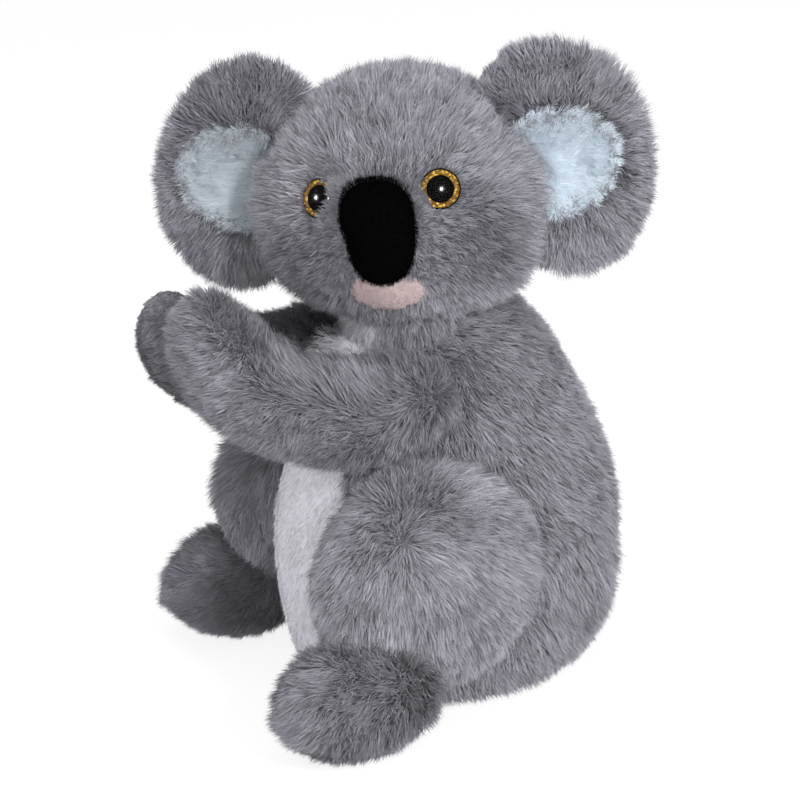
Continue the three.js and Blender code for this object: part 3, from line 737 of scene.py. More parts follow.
def pile_tree():
    """Scatters strands over a cloth, combs, clumps and bends them, and maps their tones."""
    tree = bpy.data.node_groups.new("Pile", "GeometryNodeTree")
    tree.interface.new_socket("Pile", in_out="OUTPUT", socket_type="NodeSocketGeometry")
    for name, kind, default in PILE_INPUTS:
        socket = tree.interface.new_socket(name, in_out="INPUT", socket_type=kind)
        if default is not None:
            socket.default_value = default
    g = Graph(tree)
    given = tree.nodes.new("NodeGroupInput")
    take = {name: Wire(g, given.outputs[name]) for name, _, _ in PILE_INPUTS}

    def stored(name, kind="FLOAT"):
        return g.add("GeometryNodeInputNamedAttribute", {"data_type": kind}, {"Name": name})

    def random(low, high, step):
        inputs = {2: low, 3: high, "Seed": take["Seed"] + step}
        return g.add("FunctionNodeRandomValue", {"data_type": "FLOAT"}, inputs, 1)

    def random_way(step):
        inputs = {0: (-1, -1, -1), 1: (1, 1, 1), "Seed": take["Seed"] + step}
        return g.add("FunctionNodeRandomValue", {"data_type": "FLOAT_VECTOR"}, inputs)

    def keep(geometry, name, value, kind, domain="POINT"):
        settings = {"data_type": kind, "domain": domain}
        return g.add("GeometryNodeStoreNamedAttribute", settings, {"Geometry": geometry, "Name": name, "Value": value})

    roots = g.add(
        "GeometryNodeDistributePointsOnFaces",
        {"distribute_method": "RANDOM"},
        {"Mesh": take["Cloth"], "Density": take["Density"] * stored("cover"), "Seed": take["Seed"]},
    )
    normal, comb = roots.output("Normal"), stored("comb", "FLOAT_VECTOR")
    length = take["Length"] * stored("pile") * random(0.75, 1.05, 1)

    # Strands bend to the middle of their clump, the way the clump leans, and down.
    place = g.add("GeometryNodeInputPosition")
    clumps = g.add("ShaderNodeTexVoronoi", inputs={"Vector": place, "Scale": 1 / take["Clump size"]})
    clump_colour = clumps.output("Color")
    toward = g.scaled(g.vector("SUBTRACT", clumps.output("Position"), place), take["Clump pull"])
    clump_way = g.scaled(g.vector("SUBTRACT", clump_colour, (0.5, 0.5, 0.5)), length * 0.3)
    sag = g.scaled(g.vector("SUBTRACT", comb, normal), length * take["Droop"])
    bend = g.vector("ADD", toward, g.vector("ADD", clump_way, sag))

    scattered = g.scaled(random_way(2), take["Scatter"])
    way = g.vector("NORMALIZE", g.vector("ADD", g.vector("ADD", normal, comb), scattered))
    facing = g.vector("ADD", normal, g.scaled(random_way(3), 0.55))
    rotation = g.add("FunctionNodeAxesToRotation", {"primary_axis": "Z", "secondary_axis": "Y"}, (way, facing))
    clump_tone = g.add("ShaderNodeSeparateXYZ", inputs=(clump_colour,))
    tone = stored("tone") + take["Tone spread"] * (random(-0.5, 0.5, 4) + 0.75 * (clump_tone - 0.5))
    tone = g.add("ShaderNodeClamp", inputs=(tone, 0.0, 1.0))

    points = keep(keep(roots, "bend", bend, "FLOAT_VECTOR"), "shade", tone, "FLOAT")
    size = g.add("ShaderNodeCombineXYZ", inputs=(take["Width"] * random(0.7, 1.3, 5), 1.0, length))
    strand = g.add("GeometryNodeObjectInfo", inputs={"Object": take["Strand"]}, output="Geometry")
    placed = {"Points": points, "Instance": strand, "Rotation": rotation, "Scale": size}
    blades = g.add("GeometryNodeInstanceOnPoints", inputs=placed)
    pile = g.add("GeometryNodeRealizeInstances", inputs=(blades,))
    along = stored("along")
    offset = g.scaled(stored("bend", "FLOAT_VECTOR"), along * along)
    pile = g.add("GeometryNodeSetPosition", inputs={"Geometry": pile, "Offset": offset})

    # The strand map has the tone across it and the way from root to tip along it, inside a narrow border.
    across = 0.02 + 0.96 * stored("shade") + 0.012 * stored("across")
    mapped = g.add("ShaderNodeCombineXYZ", inputs=(across, 0.02 + 0.96 * along, 0.0))
    pile = keep(pile, "OFBake", mapped, "FLOAT2", "CORNER")
    pile = g.add("GeometryNodeSetMaterial", inputs={"Geometry": pile, "Material": take["Material"]})
    out = tree.nodes.new("NodeGroupOutput")
    tree.links.new(pile.socket, out.inputs[0])
    return tree


class Workshop:
    """What the operators share: the made materials, the forms, and the pile's tree."""

    def __init__(self):
        self.forms = {}
        self.materials = {}
        self.tree = None
        self.strand = None

    def material(self, name, make, *values):
        if name not in self.materials:
            self.materials[name] = make(name, *values)
        return self.materials[name]

    def grow(self, form, name, body, material, slot=None, strands=None, **settings):
        """Grows pile on a form, as a piece of its own that rides on a body."""
        pile = bpy.context.scene.koala_pile
        if self.tree is None:
            self.tree = pile_tree()
            self.strand = strand_object()
        form.store()
        area = form.covered_area()
        count = min(MOST_STRANDS, strands or int(area * 1e4 * pile.strands))
        values = {
            "Strand": self.strand,
            "Material": material,
            "Density": count / area,
            "Length": pile.pile_length,
            "Width": pile.strand_width,
            "Clump size": pile.clump_size,
            **{key.replace("_", " "): value for key, value in settings.items()},
        }
        growing = form.object.modifiers.new("Pile", "NODES")
        growing.node_group = self.tree
        for item in self.tree.interface.items_tree:
            if item.in_out == "INPUT" and item.name in values:
                growing[item.identifier] = values[item.name]
        form.object.update_tag()
        bpy.context.view_layer.update()
        graph = bpy.context.evaluated_depsgraph_get()
        mesh = bpy.data.meshes.new_from_object(form.object.evaluated_get(graph))
        form.object.modifiers.remove(growing)
        mesh.name = name
        for attribute in [a.name for a in mesh.attributes if a.name in WORKING_ATTRIBUTES]:
            mesh.attributes.remove(mesh.attributes[attribute])
        points = np.zeros(len(mesh.vertices) * 3, np.float32)
        mesh.vertices.foreach_get("co", points)
        points[2::3] = np.maximum(points[2::3], FLOOR_CLEARANCE)
        mesh.vertices.foreach_set("co", points)
        mesh.update()
        made = put_in_scene(name, mesh)
        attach(made, body)
        return made

    def lay(self, form, body, material, slot, *nodes, fill=0.9):
        """Puts a stuffed cloth form in place of CAD nodes."""
        piece = form.object
        for v in piece.data.vertices:
            v.co.z = max(v.co.z, FLOOR_CLEARANCE)
        piece.data.materials.clear()
        piece.data.materials.append(material)
        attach(piece, body)
        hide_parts(*nodes)


shop = Workshop()


def grey_pile():
    pile = bpy.context.scene.koala_pile
    return shop.material("grey_pile", pile_material, pile.dark_grey, pile.light_grey)


def white_pile():
    white = bpy.context.scene.koala_pile.white
    return shop.material("white_pile", pile_material, tuple(c * 0.6 for c in white), white, 0.72)


def lining_pile():
    white = bpy.context.scene.koala_pile.lining_white
    return shop.material("lining_pile", pile_material, tuple(c * 0.6 for c in white), white, 0.92)


def grey_cloth():
    grey = bpy.context.scene.koala_pile.dark_grey
    # The backing cloth is darker than any pile: partly its own grey, partly painted shade for the gaps between strands.
    return shop.material("grey_cloth", cloth_material, tuple(c * 0.35 for c in grey), tuple(c * 0.9 for c in grey))


def white_cloth():
    white = bpy.context.scene.koala_pile.white
    return shop.material("white_cloth", cloth_material, tuple(c * 0.6 for c in white), white)


def belly_outline():
    """The belly panel's edge seen from the front, as points of x and z."""
    wide, narrow, steps = BELLY["width"] / 2, BELLY["bib"] / 2, 24
    low, low_round, widest, top = BELLY["low"], BELLY["low"] + BELLY["low_round"], BELLY["widest"], BELLY["top"]
    slope, bib_slope = widest + BELLY["slope"], widest + BELLY["bib_slope"]
    curves = [
        ((0, low), (wide * 0.6, low), (wide, low_round), (wide, widest)),
        ((wide, widest), (wide, slope), (narrow, bib_slope), (narrow, top - narrow)),
        ((narrow, top - narrow), (narrow, top), (-narrow, top), (-narrow, top - narrow)),
        ((-narrow, top - narrow), (-narrow, bib_slope), (-wide, slope), (-wide, widest)),
        ((-wide, widest), (-wide, low_round), (-wide * 0.6, low), (0, low)),
    ]
    t = np.linspace(0, 1, steps, endpoint=False)[:, None]
    runs = []
    for curve in curves:
        a, b, c, d = np.array(curve, float)
        runs.append(a * (1 - t) ** 3 + 3 * b * t * (1 - t) ** 2 + 3 * c * t**2 * (1 - t) + d * t**3)
    return np.vstack(runs)


def edge_distance(points, outline):
    """How far each point is from an outline, positive inside it."""
    inside = np.zeros(len(points), bool)
    nearest = np.full(len(points), np.inf)
    for a, b in zip(outline, np.roll(outline, -1, axis=0)):
        along = b - a
        t = np.clip(((points - a) @ along) / max(along @ along, 1e-9), 0, 1)
        nearest = np.minimum(nearest, np.linalg.norm(points - a - t[:, None] * along, axis=1))
        crosses = (a[1] > points[:, 1]) != (b[1] > points[:, 1])
        if a[1] != b[1]:
            at = a[0] + (points[:, 1] - a[1]) / (b[1] - a[1]) * along[0]
            inside ^= crosses & (points[:, 0] < at)
    return np.where(inside, nearest, -nearest)


def belly_share(points):
    """How far inside the belly panel's edge a point is, negative outside it or behind."""
    return np.where(points[:, 1] < 0, edge_distance(points[:, [0, 2]], belly_outline()), -99)


# Operators


class KOALA_OT_forms(bpy.types.Operator):
    """Shapes every stuffed cloth form, so that each knows its neighbours"""

    bl_idname = "koala.forms"
    bl_label = "Shape the cloth forms"

    def execute(self, context):
        deep = context.scene.koala_pile.cloth_depth / MM
        ball_points, ball_faces = ball(72, 48)
        neck = ball_points * (NECK["radius"] - 0.5) + np.array(NECK["centre"])
        head, head_faces = head_form(deep)
        nose, nose_faces = nose_form()
        made = {
            "torso": ("body", *torso_form(deep)),
            "neck": ("neck", neck, ball_faces),
            "head": ("head", on_head(head), head_faces),
            "nose": ("nose", on_head(nose), nose_faces),
        }
        for side in SIDES:
            ear, ear_faces = ear_form(deep, LEFT_EAR_FULLER if side == "left" else 0)
            made[f"ear_{side}"] = (f"ear_{side}", on_head(mirror(on_ear(ear), side)), ear_faces)
            for limb, form in (("arm", arm_form), ("thigh", thigh_form), ("foot", foot_form)):
                made[f"{limb}_{side}"] = (f"{limb}_{side}", *form(side, deep))
        for name, (cloth, points, faces) in made.items():
            shop.forms[name] = Form(f"{cloth}_cloth", points, faces)
        return {"FINISHED"}


class KOALA_OT_torso(bpy.types.Operator):
    """Makes the torso's cloth and pile, the belly panel and the neck"""

    bl_idname = "koala.torso"
    bl_label = "Torso and belly"

    def execute(self, context):
        pile, torso = context.scene.koala_pile, shop.forms["torso"]
        self.clear_limbs(torso)
        torso.hide_inside(shop.forms["neck"])
        torso.hide_inside(shop.forms["head"], 2)
        belly = belly_share(torso.points)
        back, height = smooth(20, 50, torso.points[:, 1]), torso.points[:, 2]
        torso.pile -= back * (0.45 * (1 - smooth(4, 24, height)) + 0.3 * smooth(112, 132, height))
        torso.pile += 0.25 * back * band((18, 32), (42, 60), height)
        torso.lean((0, 0.25, -1), 0.6)
        torso.ruffle(0.45, 22, 1)
        torso.cover *= 1 - smooth(-1.5, 0.5, belly)
        torso.thin_underneath()
        shop.grow(torso, "body_pile", "torso", grey_pile(), Seed=11)
        panel = self.belly(pile, torso, belly)
        shop.lay(torso, "torso", grey_cloth(), "plush", "body_skin", "body_stuffing", "pellet_bag")
        shop.lay(panel, "torso", white_cloth(), "white_plush", "belly_panel", fill=0.7)
        self.neck(pile, shop.forms["neck"])
        return {"FINISHED"}

    def clear_limbs(self, form):
        for side in SIDES:
            form.hide_inside(shop.forms[f"arm_{side}"])
            form.hide_inside(shop.forms[f"thigh_{side}"])

    def belly(self, pile, torso, belly):
        """The belly panel with its pile."""
        panel = self.panel(torso, belly)
        bib = smooth(126, 144, panel.points[:, 2])
        panel.cover = (belly_share(panel.points) > 1 - 8 * bib) * 1.0
        self.clear_limbs(panel)
        panel.hide_inside(shop.forms["head"], 1)
        panel.pile += 1.2 * bib
        panel.lean((0, 0, -1), 0.9 * (1 - 0.6 * bib))
        panel.ruffle(0.35, 14, 2)
        panel.tone = 0.42 - 0.3 * bib
        shop.grow(
            panel, "belly_pile", "torso", white_pile(), "white_plush", 16000, Seed=12,
            Length=pile.white_length * 0.62, Width=pile.strand_width * 0.8, Droop=0.3,
        )
        return panel

    def panel(self, torso, belly):
        """The belly panel, the torso's own front raised and closed behind."""
        shape = bmesh.new()
        shape.from_mesh(torso.object.data)
        inside = {v.index for v in shape.verts if belly[v.index] > -0.6}
        outside = [f for f in shape.faces if not all(v.index in inside for v in f.verts)]
        bmesh.ops.delete(shape, geom=outside, context="FACES")
        mesh = bpy.data.meshes.new("belly_front")
        shape.to_mesh(mesh)
        shape.free()
        points = np.array([v.co for v in mesh.vertices]) / MM
        normals = np.array([v.normal for v in mesh.vertices])
        faces = [tuple(p.vertices) for p in mesh.polygons]
        bpy.data.meshes.remove(mesh)
        bib = band((118, 140), (152, 158), points[:, 2])
        raised = 0.5 + (BELLY_PADDING + BIB_PADDING * bib) * smooth(0, 5, belly_share(points))
        front, back = points + normals * raised[:, None], points - normals * 0.6
        return Form("belly_cloth", *closed_sheet(front, back, faces, 3))

    def neck(self, pile, neck):
        """The neck's grey pile, and the white of the bib in front."""
        neck.hide_inside(shop.forms["torso"])
        neck.hide_inside(shop.forms["head"])
        neck.lean((0, 0, -1), 0.7)
        neck.ruffle(0.4, 16, 3)
        open_cover = neck.cover
        forward = NECK["centre"][1] - neck.points[:, 1]
        bib = smooth(4, 8, forward) * (1 - smooth(15, 19, np.abs(neck.points[:, 0])))
        neck.cover = open_cover * (1 - bib)
        shop.grow(neck, "neck_pile", "neck", grey_pile(), strands=5000, Seed=13)
        neck.cover = open_cover * bib
        shop.grow(
            neck, "neck_bib_pile", "neck", white_pile(), "white_plush", 4000, Seed=14, Length=pile.white_length,
            Width=pile.strand_width * 0.8,
        )
        shop.lay(neck, "neck", grey_cloth(), "filling", "neck_stuffing")


class KOALA_OT_head(bpy.types.Operator):
    """Makes the head's cloth and pile"""

    bl_idname = "koala.head"
    bl_label = "Head"

    def execute(self, context):
        head = shop.forms["head"]
        own = from_head(head.points)
        wall = self.clear_eyes(head, own)
        head.hide_inside(shop.forms["neck"])
        head.hide_inside(shop.forms["nose"], -0.4)
        mouth = np.hypot(
            (own[:, 0] - MOUTH["aside"]) / (MOUTH["width"] / 2), (own[:, 2] + MOUTH["down"]) / (MOUTH["height"] / 2)
        )
        head.cover *= np.where(own[:, 1] < 0, smooth(0.93, 1.0, mouth), 1)
        head.pile = np.maximum(head.pile * (1 - 0.6 * muzzle_share(own)), wall)
        out, height = np.abs(own[:, 0]), own[:, 2]
        jowl = smooth(24, 42, out) * smooth(8, 28, -height) * smooth(-38, -18, own[:, 1])
        temple = smooth(36, 50, out) * band((-25, -10), (10, 28), height)
        head.pile += 0.6 * jowl + 0.12 * smooth(35, 48, height) + 0.4 * temple
        from_nose = (own - np.array([0, -HEAD["depth"] / 2, NOSE["up"]])) @ HEAD_AXES.T
        back = smooth(-5, 30, own[:, 1])
        head.lean(from_nose, 0.55 * (1 - back))
        head.lean((0, 0, -1), 0.55 * back)
        cheek = np.zeros(len(own))
        for side in SIDES:
            away = np.linalg.norm(own - mirror(CHEEK, side), axis=1)
            cheek = np.maximum(cheek, np.exp(-((away / CHEEK_SPREAD) ** 2)))
        upright = 0.9 * cheek + 0.95 * np.minimum(wall * 1.15, 1) * (1 - cheek)
        head.comb *= (1 - upright)[:, None]
        # Painted shade: the cheeks' pile is made darker, and the whole head's pile a little darker.
        head.tone -= 0.06 + 0.3 * cheek
        head.ruffle(0.4, 16, 4)
        shop.grow(head, "head_pile", "head", grey_pile(), strands=MOST_STRANDS, Seed=21)
        shop.lay(head, "head", grey_cloth(), "plush", "head_skin", "head_stuffing")
        return {"FINISHED"}

    def clear_eyes(self, head, own):
        """Clears the pile off the eyes and shortens it near them. Gives how much stands up beside the nose."""
        wall = np.zeros(len(own))
        for side in SIDES:
            head.hide_inside(shop.forms[f"ear_{side}"])
            middle, outward = eye_place(side)
            away = own - middle
            off = np.linalg.norm(away - np.outer(away @ outward, outward), axis=1)
            near = np.where(away @ outward > -12, off, 99)
            head.cover *= smooth(*EYE_CLEARED, near)
            inner = smooth(-3, 3, (middle - own)[:, 0] * np.sign(middle[0])) * (1 - smooth(13, 18, near))
            if side == "left":
                wall = np.maximum(wall, 0.3 * inner)
                head.cover *= smooth(0, 1, near - 8.8 + 4.8 * (1 - inner))
            else:
                wall = np.maximum(wall, 0.7 * inner)
                head.cover *= 1 + 2 * inner
            head.pile *= 1 - 0.5 * (1 - smooth(8, 15, near))
        return wall


class KOALA_OT_ears(bpy.types.Operator):
    """Makes both ears, with their grey rims and white linings"""

    bl_idname = "koala.ears"
    bl_label = "Ears"

    def execute(self, context):
        for step, side in enumerate(SIDES):
            self.ear(context.scene.koala_pile, step, side)
        return {"FINISHED"}

    def ear(self, pile, step, side):
        name, form = f"ear_{side}", shop.forms[f"ear_{side}"]
        own = from_ear(mirror(from_head(form.points), side))
        front, share = own[:, 1] < 2, lining_share(own)
        frill = np.array([noise.noise(Vector(p) / LINING["frill"]) for p in own])
        white = np.where(front, smooth(-0.02, 0.05, share + 0.07 * frill), 0)
        outward = own * (1, 0, 1) - np.array([EAR["out"], 0, EAR["up"]])
        form.hide_inside(shop.forms["head"], -1)
        form.lean(mirror(outward @ EAR_AXES.T, side) @ HEAD_AXES.T, 0.5)
        form.ruffle(0.45, 14, 5 + step)
        low = smooth(22, 38, -own[:, 2]) * (1 - smooth(8, 22, own[:, 0]))
        if side == "left":
            rim = smooth(0.3, 0.6, -share)
            brushed = (outward @ BRUSHED_WAY) / np.linalg.norm(outward, axis=1)
            # Painted shadow: a dark patch of pile in the fold at the top of the left ear, where the pile is also
            # shorter.
            painted_fold_shadow = np.exp(-(((own[:, 0] - 12) / 8) ** 2) - ((own[:, 2] - 26) / 5) ** 2)
            form.pile += 0.4 * low + rim * (0.65 * np.maximum(0, brushed) ** 3 - 0.15)
            form.pile -= 0.35 * smooth(20, 40, own[:, 2]) * (1 - smooth(10, 28, own[:, 0])) + 0.3 * painted_fold_shadow
            form.tone -= 0.8 * painted_fold_shadow
        else:
            form.pile += 0.1 * low
            # Painted shade: the far ear's pile is darker all over.
            form.tone -= 0.2
        open_cover = form.cover
        form.cover = open_cover * (1 - white)
        form.comb *= (1 - 1.25 * np.where(front, smooth(-0.28, -0.02, share), 0))[:, None]
        shop.grow(form, f"{name}_pile", name, grey_pile(), Seed=31 + step, Clump_pull=0.15)
        form.cover = open_cover * white
        form.comb[:] = 0
        form.lean(mirror((outward + (15, 0, 0)) @ EAR_AXES.T, side) @ HEAD_AXES.T, 0.7)
        # Painted light and shade: the near lining's pile is toned light and the far one's dark.
        form.tone[:] = 0.9 if side == "left" else 0.05
        lining = shop.grow(
            form, f"{name}_lining_pile", name, lining_pile(), "white_plush", 30000, Seed=33,
            Length=pile.white_length * 1.15, Width=pile.strand_width * 0.75, Scatter=0.2, Tone_spread=0.15,
            Clump_pull=0.2,
        )
        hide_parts(f"{name}_lining")
        shop.lay(form, name, grey_cloth(), "plush", f"{name}_cover", f"{name}_wadding", fill=0.6)
        mesh = form.object.data
        mesh.materials.append(white_cloth())
        for face in mesh.polygons:
            face.material_index = int(np.mean(white[list(face.vertices)]) > 0.5)


class KOALA_OT_arms(bpy.types.Operator):
    """Makes both arms"""

    bl_idname = "koala.arms"
    bl_label = "Arms"

    def execute(self, context):
        for step, side in enumerate(SIDES):
            arm, name = shop.forms[f"arm_{side}"], f"arm_{side}"
            arm.hide_inside(shop.forms["torso"], -1)
            arm.lean(mirror((-0.35, -1, -0.15), side), 0.55)
            own = (arm.points - mirror(SHOULDER, side)) / (ARM["inward"], ARM["reach"], ARM["rise"])
            reach, up = -own[:, 1], arm.normals[:, 2]
            upper = smooth(0.1, 0.7, up) * band((0, 0.2), (0.55, 0.85), reach)
            if side == "left":
                arm.pile += 0.6 * upper
                arm.lean((0, 0, 1), 0.5 * upper)
                # Painted shade: the near arm's pile is darker all over.
                arm.tone -= 0.28
            else:
                arm.pile -= smooth(0.65, 0.95, reach) * (0.4 + 0.4 * smooth(-0.2, 0.5, up))
                # Painted light and shade: the far arm's top near the shoulder is toned lighter, and the rest of it
                # darker.
                arm.tone += 0.9 * upper - 0.3
            arm.ruffle(0.5, 18, 7 + step)
            shop.grow(arm, f"{name}_pile", name, grey_pile(), Seed=41 + step)
            shop.lay(arm, name, grey_cloth(), "plush", f"{name}_skin", f"{name}_stuffing")
        return {"FINISHED"}


class KOALA_OT_legs(bpy.types.Operator):
    """Makes both haunches and feet"""

    bl_idname = "koala.legs"
    bl_label = "Legs"

    def execute(self, context):
        for step, side in enumerate(SIDES):
            thigh, foot, body = shop.forms[f"thigh_{side}"], shop.forms[f"foot_{side}"], f"leg_{side}"
            torso = shop.forms["torso"]
            for form, other in ((thigh, torso), (thigh, foot), (foot, thigh), (foot, torso)):
                form.hide_inside(other, -1)
            thigh.lean(thigh.points - mirror(HIP, side) - mirror(THIGH_WHORL, side), 0.5)
            thigh.lean((0, 0, -1), 0.3)
            if side == "left":
                # Painted shade: the near haunch's pile is a little darker.
                thigh.tone -= 0.04
            else:
                front = smooth(10, 35, HIP[1] - thigh.points[:, 1])
                thigh.pile += front * (0.6 * smooth(60, 80, thigh.points[:, 2]) - 0.2)
                # Painted shade: the far haunch's pile is darker.
                thigh.tone -= 0.2
            thigh.ruffle(0.5, 18, 9 + step)
            height = foot.points[:, 2]
            foot.thin_underneath()
            foot.lean(mirror((0.1, -1, -0.1), side), 0.5)
            foot.pile += 0.3 * band((12, 20), (32, 44), height) - 0.12 * (1 - smooth(6, 14, height))
            # Painted shade: the feet's pile is darker, the far foot more.
            foot.tone -= 0.2 if side == "left" else 0.35
            foot.ruffle(0.5, 14, 11 + step)
            for name, form, seed in ((f"thigh_{side}", thigh, 51), (f"foot_{side}", foot, 53)):
                shop.grow(form, f"{name}_pile", body, grey_pile(), Seed=seed + step)
                shop.lay(form, body, grey_cloth(), "plush", f"{name}_skin", f"{name}_stuffing")
        return {"FINISHED"}


class KOALA_OT_face(bpy.types.Operator):
    """Makes the velvet nose, the velour mouth and the glitter eyes"""

    bl_idname = "koala.face"
    bl_label = "Nose, mouth and eyes"

    def execute(self, context):
        face = context.scene.koala_face
        self.nose(tuple(face.black))
        self.mouth(tuple(face.pink))
        for side in SIDES:
            self.eye(face, side)
        return {"FINISHED"}

    def nose(self, black):
        nose = shop.forms["nose"]
        nose.hide_inside(shop.forms["head"], -0.5)
        height = (from_head(nose.points)[:, 2] - NOSE["up"]) / (NOSE["height"] / 2)
        crown = smooth(0.5, 0.95, height)
        nose.lean((0, 0, -1), 0.5 * (1 - crown))
        nose.lean((0, 0, 1), 0.5 * crown)
        nose.pile += 1.3 * crown
        nap = shop.material("nose_nap", pile_material, black, tuple(c * 2.5 for c in black), 0.6, 0.0, 0.0)
        self.grow_nap(nose, "nose_nap", nap, "velvet", Seed=61, Length=0.0016, Width=0.00016)
        velvet = shop.material("nose_velvet", velvet_material, black)
        shop.lay(nose, "head", velvet, "velvet", "nose_cover", "nose_wadding", fill=0.8)

    def mouth(self, pink):
        """A velour patch that is padded a little and turned in at its edge."""
        sides, rings = 72, 14
        reach = np.linspace(0, 1, rings + 1)[1:]
        x = reach[:, None] * MOUTH["width"] / 2 * np.cos(around(sides)) + MOUTH["aside"]
        z = reach[:, None] * MOUTH["height"] / 2 * np.sin(around(sides)) - MOUTH["down"]
        flat = np.stack([x, np.full_like(x, -HEAD["depth"]), z], -1).reshape(-1, 3)
        flat = np.vstack([[(MOUTH["aside"], -HEAD["depth"], -MOUTH["down"])], flat])
        share = np.concatenate([[0], np.repeat(reach, sides)])
        inward = Vector(HEAD_AXES @ np.array([0, 1, 0]))
        tree = shop.forms["head"].tree()
        front, back = [], []
        for p, r in zip(on_head(flat), share):
            where, normal, _, _ = tree.ray_cast(Vector(p * MM), inward)
            if where is None:
                raise RuntimeError("the mouth misses the head")
            lift = 0.4 + MOUTH["padding"] * math.sqrt(max(0.0, 1 - r**4))
            front.append(np.array(where) / MM + np.array(normal) * lift)
            back.append(np.array(where) / MM - np.array(normal) * 0.8)
        at = numbering(sides)
        faces = [(0, at(0, s), at(0, s + 1)) for s in range(sides)]
        for ring in range(rings - 1):
            faces += [(at(ring, s), at(ring + 1, s), at(ring + 1, s + 1), at(ring, s + 1)) for s in range(sides)]
        form = Form("mouth_cloth", *closed_sheet(front, back, faces))
        dark, light = [tuple(c * tone for c in pink) for tone in (0.8, 1.15)]
        nap = shop.material("mouth_nap", pile_material, dark, light, 0.85)
        self.grow_nap(form, "mouth_nap", nap, "velour", Seed=62, Length=0.0012, Width=0.00014)
        velour = shop.material("mouth_velour", velour_material, pink)
        shop.lay(form, "head", velour, "velour", "mouth_patch", fill=0.5)

    def grow_nap(self, form, name, material, slot, **settings):
        """Grows the fine nap of velvet or velour."""
        shop.grow(form, name, "head", material, slot, 9000, Scatter=0.5, Droop=0.1, **settings)

    def eye(self, face, side):
        """Black pupil and plate, glitter ring, and clear dome, nested as the solids are."""
        middle, root = eye_place(side)
        outward = turn_about("Z", LEFT_EYE_TURN) @ root if side == "left" else root
        radius, plate, fit = EYE["diameter"] / 2, EYE["plate"], EYE["fit"]
        pupil, outer, bevel = PUPIL_DIAMETER / 2, RING_DIAMETER / 2, 0.2
        shank, length = POST["diameter"] / 2, POST["length"]
        top, shoulder = plate + PUPIL_RISE, plate + PUPIL_RISE + EYE["rim"] + fit
        post = [(0, -length), (shank - 0.6, -length), (shank, 1 - length), (shank, 0)]
        post += [(radius - 0.3, 0), (radius, 0.3), (radius, plate), (pupil, plate)]
        post += [(pupil, top - bevel), (pupil - bevel, top), (0, top)]
        ring_in, ring_low, ring_high = pupil + fit / 2, plate + fit, plate + fit + GLITTER_THICKNESS
        ring = [(ring_in, ring_low), (outer, ring_low), (outer, ring_high), (ring_in, ring_high), (ring_in, ring_low)]
        under = plate + 0.3
        lens = [(0, under), (radius - fit, under), (radius - fit, plate + fit), (radius, plate + fit)]
        lens += dome(radius, shoulder, plate + fit + EYE["dome"])
        parts = [
            ("post", post, pupil_material, "black_plastic", ()),
            ("glitter", ring, glitter_material, "glitter", (tuple(face.gold), face.glitter_grain)),
            ("lens", lens, lens_material, "clear_plastic", ()),
        ]
        for name, outline, make, slot, values in parts:
            piece = turned(f"eye_{side}_{name}_turned", outline, middle, outward, root)
            piece.data.materials.append(shop.material(f"eye_{name}", make, *values))
            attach(piece, "head")
            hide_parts(f"eye_{side}_{name}")


class KOALA_OT_inside(bpy.types.Operator):
    """Finishes the hidden washers"""

    bl_idname = "koala.inside"
    bl_label = "Washers"

    def execute(self, context):
        washer = shop.material("washer_plastic", washer_material)
        for side in SIDES:
            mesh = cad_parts[f"eye_{side}_washer"].data
            mesh.materials.clear()
            mesh.materials.append(washer)
        return {"FINISHED"}


# Azimuth and elevation in degrees, diameter in metres, power in watts, and the kind of ray that misses the lamp.
LAMPS = {
    "key_lamp": (98, 30, 0.26, 20, "glossy"),
    "fill_lamp": (36, 15, 0.26, 8, "glossy"),
    "top_lamp": (70, 78, 1.2, 10, "glossy"),
    "left_catch_light": (71, 21, 0.2, 55, "diffuse"),
    "right_catch_light": (10, 18, 0.2, 55, "diffuse"),
}
LAMP_DISTANCE, LAMP_TARGET = 1.5, (0, 0, 0.13)
CAMERA = {"lens": 119.8, "sensor": 36, "target": (0.00635, -0.0107, 0.1242), "roll": -2.25}
FLOOR_HALF_WIDTH = 8
FLOOR_GLOW = {"strength": 1.08, "share": 0.8}
WORLD_LIGHT = 0.5


def direction(azimuth, elevation):
    """The way to a place at an azimuth from the front and an elevation, in radians."""
    level = math.cos(elevation)
    return Vector((math.sin(azimuth) * level, -math.cos(azimuth) * level, math.sin(elevation)))


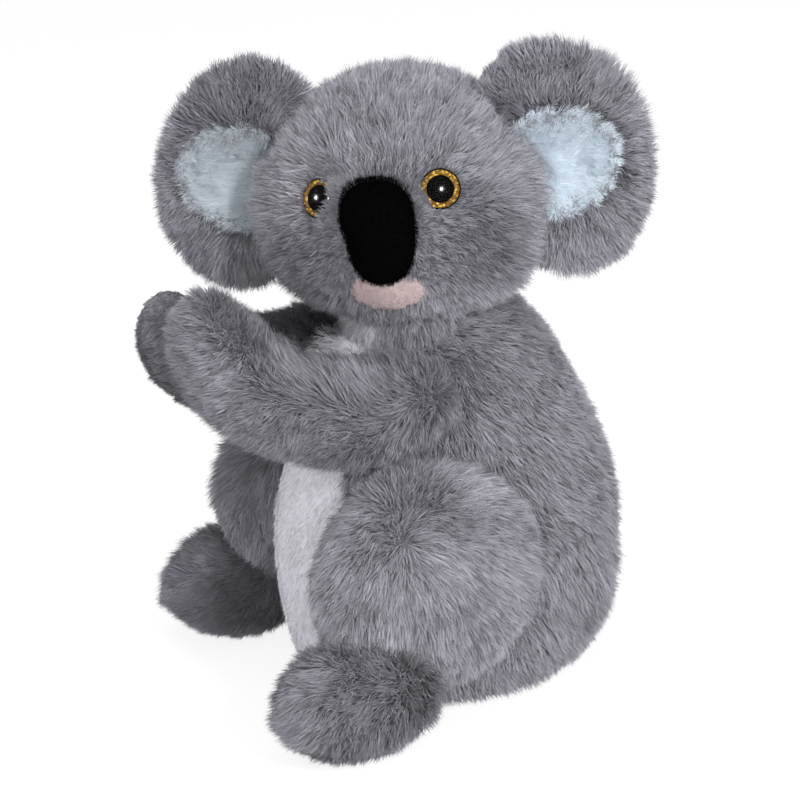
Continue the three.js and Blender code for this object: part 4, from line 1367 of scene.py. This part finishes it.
class KOALA_OT_stage(bpy.types.Operator):
    """Makes the floor, the lamps, the world and the camera"""

    bl_idname = "koala.stage"
    bl_label = "Stage"

    def execute(self, context):
        settings = context.scene.koala_stage
        self.floor(settings)
        self.world(context.scene)
        for name, values in LAMPS.items():
            self.lamp(name, *values)
        self.camera(context.scene, settings)
        context.scene.view_settings.view_transform = "Standard"
        return {"FINISHED"}

    def floor(self, settings):
        """A pale floor that shows almost white, and keeps the koala's shadow."""
        half = FLOOR_HALF_WIDTH
        mesh = bpy.data.meshes.new("floor")
        mesh.from_pydata([(-half, -half, 0), (half, -half, 0), (half, half, 0), (-half, half, 0)], [], [(0, 1, 2, 3)])
        g = Finish("floor")
        mesh.materials.append(g.done(Base_Color=rgba(settings.floor_colour), Roughness=1.0, Specular_IOR_Level=0.0))
        lit = Wire(g, g.surface.outputs[0])
        glow = g.add("ShaderNodeEmission", inputs={"Color": (1, 1, 1, 1), "Strength": FLOOR_GLOW["strength"]})
        shown = g.add("ShaderNodeMixShader", inputs={0: FLOOR_GLOW["share"] * g.seen(), 1: lit, 2: glow})
        g.tree.links.new(shown.socket, g.tree.nodes["Material Output"].inputs["Surface"])
        put_in_scene("floor", mesh)

    def world(self, scene):
        """White where it is seen, and dimmer where it only lights the koala."""
        scene.world = bpy.data.worlds.new("studio")
        scene.world.use_nodes = True
        g = Graph(scene.world.node_tree)
        light = g.tree.nodes["Background"]
        light.inputs["Color"].default_value = (1, 1, 1, 1)
        strength = WORLD_LIGHT + (1 - WORLD_LIGHT) * g.seen()
        g.tree.links.new(strength.socket, light.inputs["Strength"])

    def lamp(self, name, azimuth, elevation, diameter, power, missed):
        """A round lamp that points at the koala."""
        data = bpy.data.lights.new(name, "AREA")
        data.shape = "DISK"
        data.size = diameter
        data.energy = power
        lamp = put_in_scene(name, data)
        away = direction(math.radians(azimuth), math.radians(elevation))
        lamp.location = Vector(LAMP_TARGET) + away * LAMP_DISTANCE
        lamp.rotation_euler = (-away).to_track_quat("-Z", "Y").to_euler()
        setattr(lamp, f"visible_{missed}", False)

    def camera(self, scene, settings):
        data = bpy.data.cameras.new("camera")
        data.sensor_width = CAMERA["sensor"]
        data.lens = CAMERA["lens"]
        camera = put_in_scene("camera", data)
        away = direction(settings.azimuth, settings.elevation)
        camera.location = Vector(CAMERA["target"]) + away * settings.distance
        roll = Matrix.Rotation(math.radians(CAMERA["roll"]), 3, "Z")
        camera.rotation_euler = ((-away).to_track_quat("-Z", "Y").to_matrix() @ roll).to_euler()
        scene.camera = camera


class KOALA_PT_panel(bpy.types.Panel):
    """Lists the koala's settings and the steps that make it"""

    bl_label = "Plush koala"
    bl_idname = "KOALA_PT_panel"
    bl_space_type = "VIEW_3D"
    bl_region_type = "UI"
    bl_category = "Koala"

    def draw(self, context):
        for group in SETTINGS:
            settings = getattr(context.scene, group)
            box = self.layout.box()
            for name in settings.__annotations__:
                box.prop(settings, name)
        for operator in OPERATORS:
            self.layout.operator(operator.bl_idname)


OPERATORS = (
    KOALA_OT_forms,
    KOALA_OT_torso,
    KOALA_OT_head,
    KOALA_OT_ears,
    KOALA_OT_arms,
    KOALA_OT_legs,
    KOALA_OT_face,
    KOALA_OT_inside,
    KOALA_OT_stage,
)
SETTINGS = {
    "koala_pile": KoalaPileSettings,
    "koala_face": KoalaFaceSettings,
    "koala_stage": KoalaStageSettings,
}
CLASSES = (*SETTINGS.values(), *OPERATORS, KOALA_PT_panel)


def register():
    for one in CLASSES:
        bpy.utils.register_class(one)
    for name, kind in SETTINGS.items():
        setattr(bpy.types.Scene, name, PointerProperty(type=kind))


def unregister():
    for name in SETTINGS:
        delattr(bpy.types.Scene, name)
    for one in reversed(CLASSES):
        bpy.utils.unregister_class(one)


def main():
    register()
    bpy.ops.koala.forms()
    bpy.ops.koala.torso()
    bpy.ops.koala.head()
    bpy.ops.koala.ears()
    bpy.ops.koala.arms()
    bpy.ops.koala.legs()
    bpy.ops.koala.face()
    bpy.ops.koala.inside()
    bpy.ops.koala.stage()
    bpy.data.objects.remove(shop.strand)
    bpy.context.view_layer.update()


if __name__ == "__main__":
    main()
